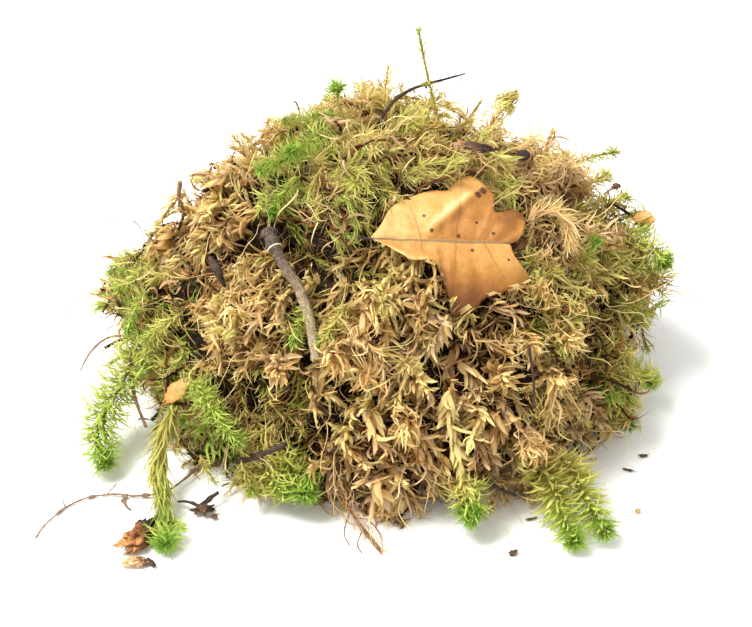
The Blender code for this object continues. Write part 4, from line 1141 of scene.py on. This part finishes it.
FLAKE = rotten("rotten_bark", "#2A1A10", "#8A5228", "#C98F54")
DARK_CRUMB = rotten("dark_bark_crumb", "#2A1D14", "#6A4C34", "#AC875E")
PALE_CRUMB = rotten("pale_wood_crumb", "#7A4E2C", "#E6B880", "#F8E4C4")
BUD_SKIN = rotten("brown_bud_scales", "#140D09", "#33231A", "#5E4534")
LUMPS = (
    # node, material, slot, middle, half sizes, turn, tilt, tear, fibres and their length, seed
    ("bark_flake", FLAKE, "bark", (-87, -90.5, 3.6), (12.5, 4.6, 3.6), 52, 6, 0.55, 14, 3.0, 3),
    ("bark_crumb", DARK_CRUMB, "bark", (-65, -75.5, 2.8), (4.0, 2.3, 2.3), 8, 0, 0.8, 4, 4.5, 11),
    ("crumb_pale", PALE_CRUMB, "crumb", (-88, -102.3, 1.9), (5.4, 2.4, 1.8), 5, 0, 0.45, 5, 1.6, 7),
    ("bark_strip", DARK_CRUMB, "bark", (38, 4, 115), (8.5, 2.4, 1.8), -18, 10, 0.35, 10, 2.6, 5),
    ("bud_brown", BUD_SKIN, "bark", (57.5, 12, 106), (3.6, 2.9, 2.7), 20, 15, 0.12, 0, 1.5, 9),
    ("bud_small", DARK_CRUMB, "bark", (97.3, 27.2, 81.6), (2.3, 1.7, 1.5), 30, 0, 0.4, 0, 1.5, 13),
    ("crumb_nodule", DARK_CRUMB, "bark", (-60.5, -78.5, 1.5), (1.5, 1.3, 1.3), 20, 0, 0.3, 2, 3.0, 26),
    ("fallen_crumb_one", DARK_CRUMB, "bark", (107, -44, 0.9), (2.0, 0.9, 0.8), 10, 0, 0.4, 2, 2.0, 21),
    ("fallen_crumb_two", DARK_CRUMB, "bark", (100, -52, 0.8), (2.6, 0.6, 0.6), -20, 0, 0.4, 1, 2.0, 22),
    ("fallen_crumb_three", PALE_CRUMB, "crumb", (101, -75, 0.9), (1.6, 1.2, 0.8), 40, 0, 0.4, 0, 1.0, 23),
    ("fallen_crumb_four", DARK_CRUMB, "bark", (52, -97, 1.1), (2.2, 1.2, 1.0), 30, 0, 0.5, 3, 2.0, 24),
    ("fallen_crumb_five", DARK_CRUMB, "bark", (60, -79, 0.8), (2.8, 0.6, 0.6), 15, 0, 0.4, 1, 1.5, 25),
)
for node, mat, slot, middle, half, turn, tilt, tear, fibres, length, seed in LUMPS:
    mesh = torn_lump(node, Vector(middle), half, turn, tilt, tear, fibres, length, seed)
    piece = new_object(node + "_torn", mesh)
    mesh.materials.clear()
    mesh.materials.append(mat)
    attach(piece, "root")
    if node in frame["nodes"]:
        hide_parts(node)


# ---------------------------------------------------------------------------------------------- leaf scraps
# Two scraps of dead leaf and the rolled end of a third are caught between the shoots. They are the same dry
# leaf as the oak leaf, torn small, and curled as they dried.
SCRAP_ROWS = 24
SCRAP_COLUMNS = 16
WHOLE_LEAF = 60            # mm, the leaf that a scrap was torn from
SCRAPS = (
    # node, middle, length and width in mm, turn about Z, X and Y in degrees, curl across, paleness
    ("leaf_scrap_left", (-75.5, -47, 37), 16.0, 6.4, (50, -42, 22), 30, 0.84),
    ("leaf_scrap_right", (108, 19.5, 71), 10.5, 8.0, (60, -15, -30), 90, 0.72),
    ("leaf_curl_end", (57.5, -20, 84), 15.0, 12.0, (50, 10, 60), 120, 0.02),
)
for node, middle, length, width, angles, curl, paleness in SCRAPS:
    rows = []
    for i in range(SCRAP_ROWS + 1):
        s = i / SCRAP_ROWS * 2 - 1
        edge = width / 2 * (1.02 - abs(s) ** 1.7) * (1 + 0.35 * noise.noise(Vector((s * 4, length, 0)))
                                                     + 0.3 * noise.noise(Vector((s * 11, length, 5))))
        rows.append([])
        for j in range(SCRAP_COLUMNS + 1):
            t = j / SCRAP_COLUMNS * 2 - 1
            half_curl = math.radians(curl) / 2
            x = s * length / 2 + 0.5 * noise.noise(Vector((t * 3, s * 2, 7)))
            y = edge * math.sin(half_curl * t) / half_curl
            z = edge * (math.cos(half_curl * t) - 1) / half_curl + 0.6 * noise.noise(Vector((x, y, 2)) * 0.3)
            rows[-1].append(((x, y, z - 0.02 * x * x), paleness - 0.25 * smooth(0.7, 1, abs(t)) + 0.15 * s,
                             (s + 1) / 2 * length / WHOLE_LEAF, abs(t), (x + 200, y + 50, 0)))
    piece = dead_blade(node + "_blade", rows, turned_at(middle, angles), 0.3)
    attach(piece, "root")
    if node in frame["nodes"]:
        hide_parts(node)

# --------------------------------------------------------------------------------------------------- studio
# A white table top in a white room, one large soft light high on the left, and a long lens that looks down on
# the heap.
bm = bmesh.new()
bmesh.ops.create_grid(bm, x_segments=1, y_segments=1, size=3)
floor = new_object("floor", finished(bm, "floor"))
table_top, tree = new_skin("white_table_top")
coat(tree, Base_Color=linear("#F4F4F2"), Roughness=0.9)
floor.data.materials.append(table_top)

room = bpy.data.worlds.new("white_room")
room.use_nodes = True
room.node_tree.nodes["Background"].inputs["Color"].default_value = (1, 1, 1, 1)
room.node_tree.nodes["Background"].inputs["Strength"].default_value = 1.0
bpy.context.scene.world = room

soft_box = bpy.data.lights.new("soft_box", "AREA")
soft_box.shape = "DISK"
soft_box.size = 0.7
soft_box.energy = 32
soft_light = new_object("soft_box", soft_box)
soft_light.location = (-0.6, -0.05, 1.2)
soft_light.rotation_euler = (Vector((0, 0, 0.04)) - soft_light.location).to_track_quat("-Z", "Y").to_euler()

LOOK_AT = Vector((1, 4, 35)) * MM
ELEVATION = math.radians(38)
DISTANCE = 0.68
lens = bpy.data.cameras.new("camera")
lens.lens = 80
lens.sensor_width = 36
camera = new_object("camera", lens)
backwards = Vector((0, -math.cos(ELEVATION), math.sin(ELEVATION)))
camera.location = LOOK_AT + backwards * DISTANCE
camera.rotation_euler = (-backwards).to_track_quat("-Z", "Y").to_euler()
bpy.context.scene.camera = camera
bpy.context.scene.view_settings.view_transform = "Standard"
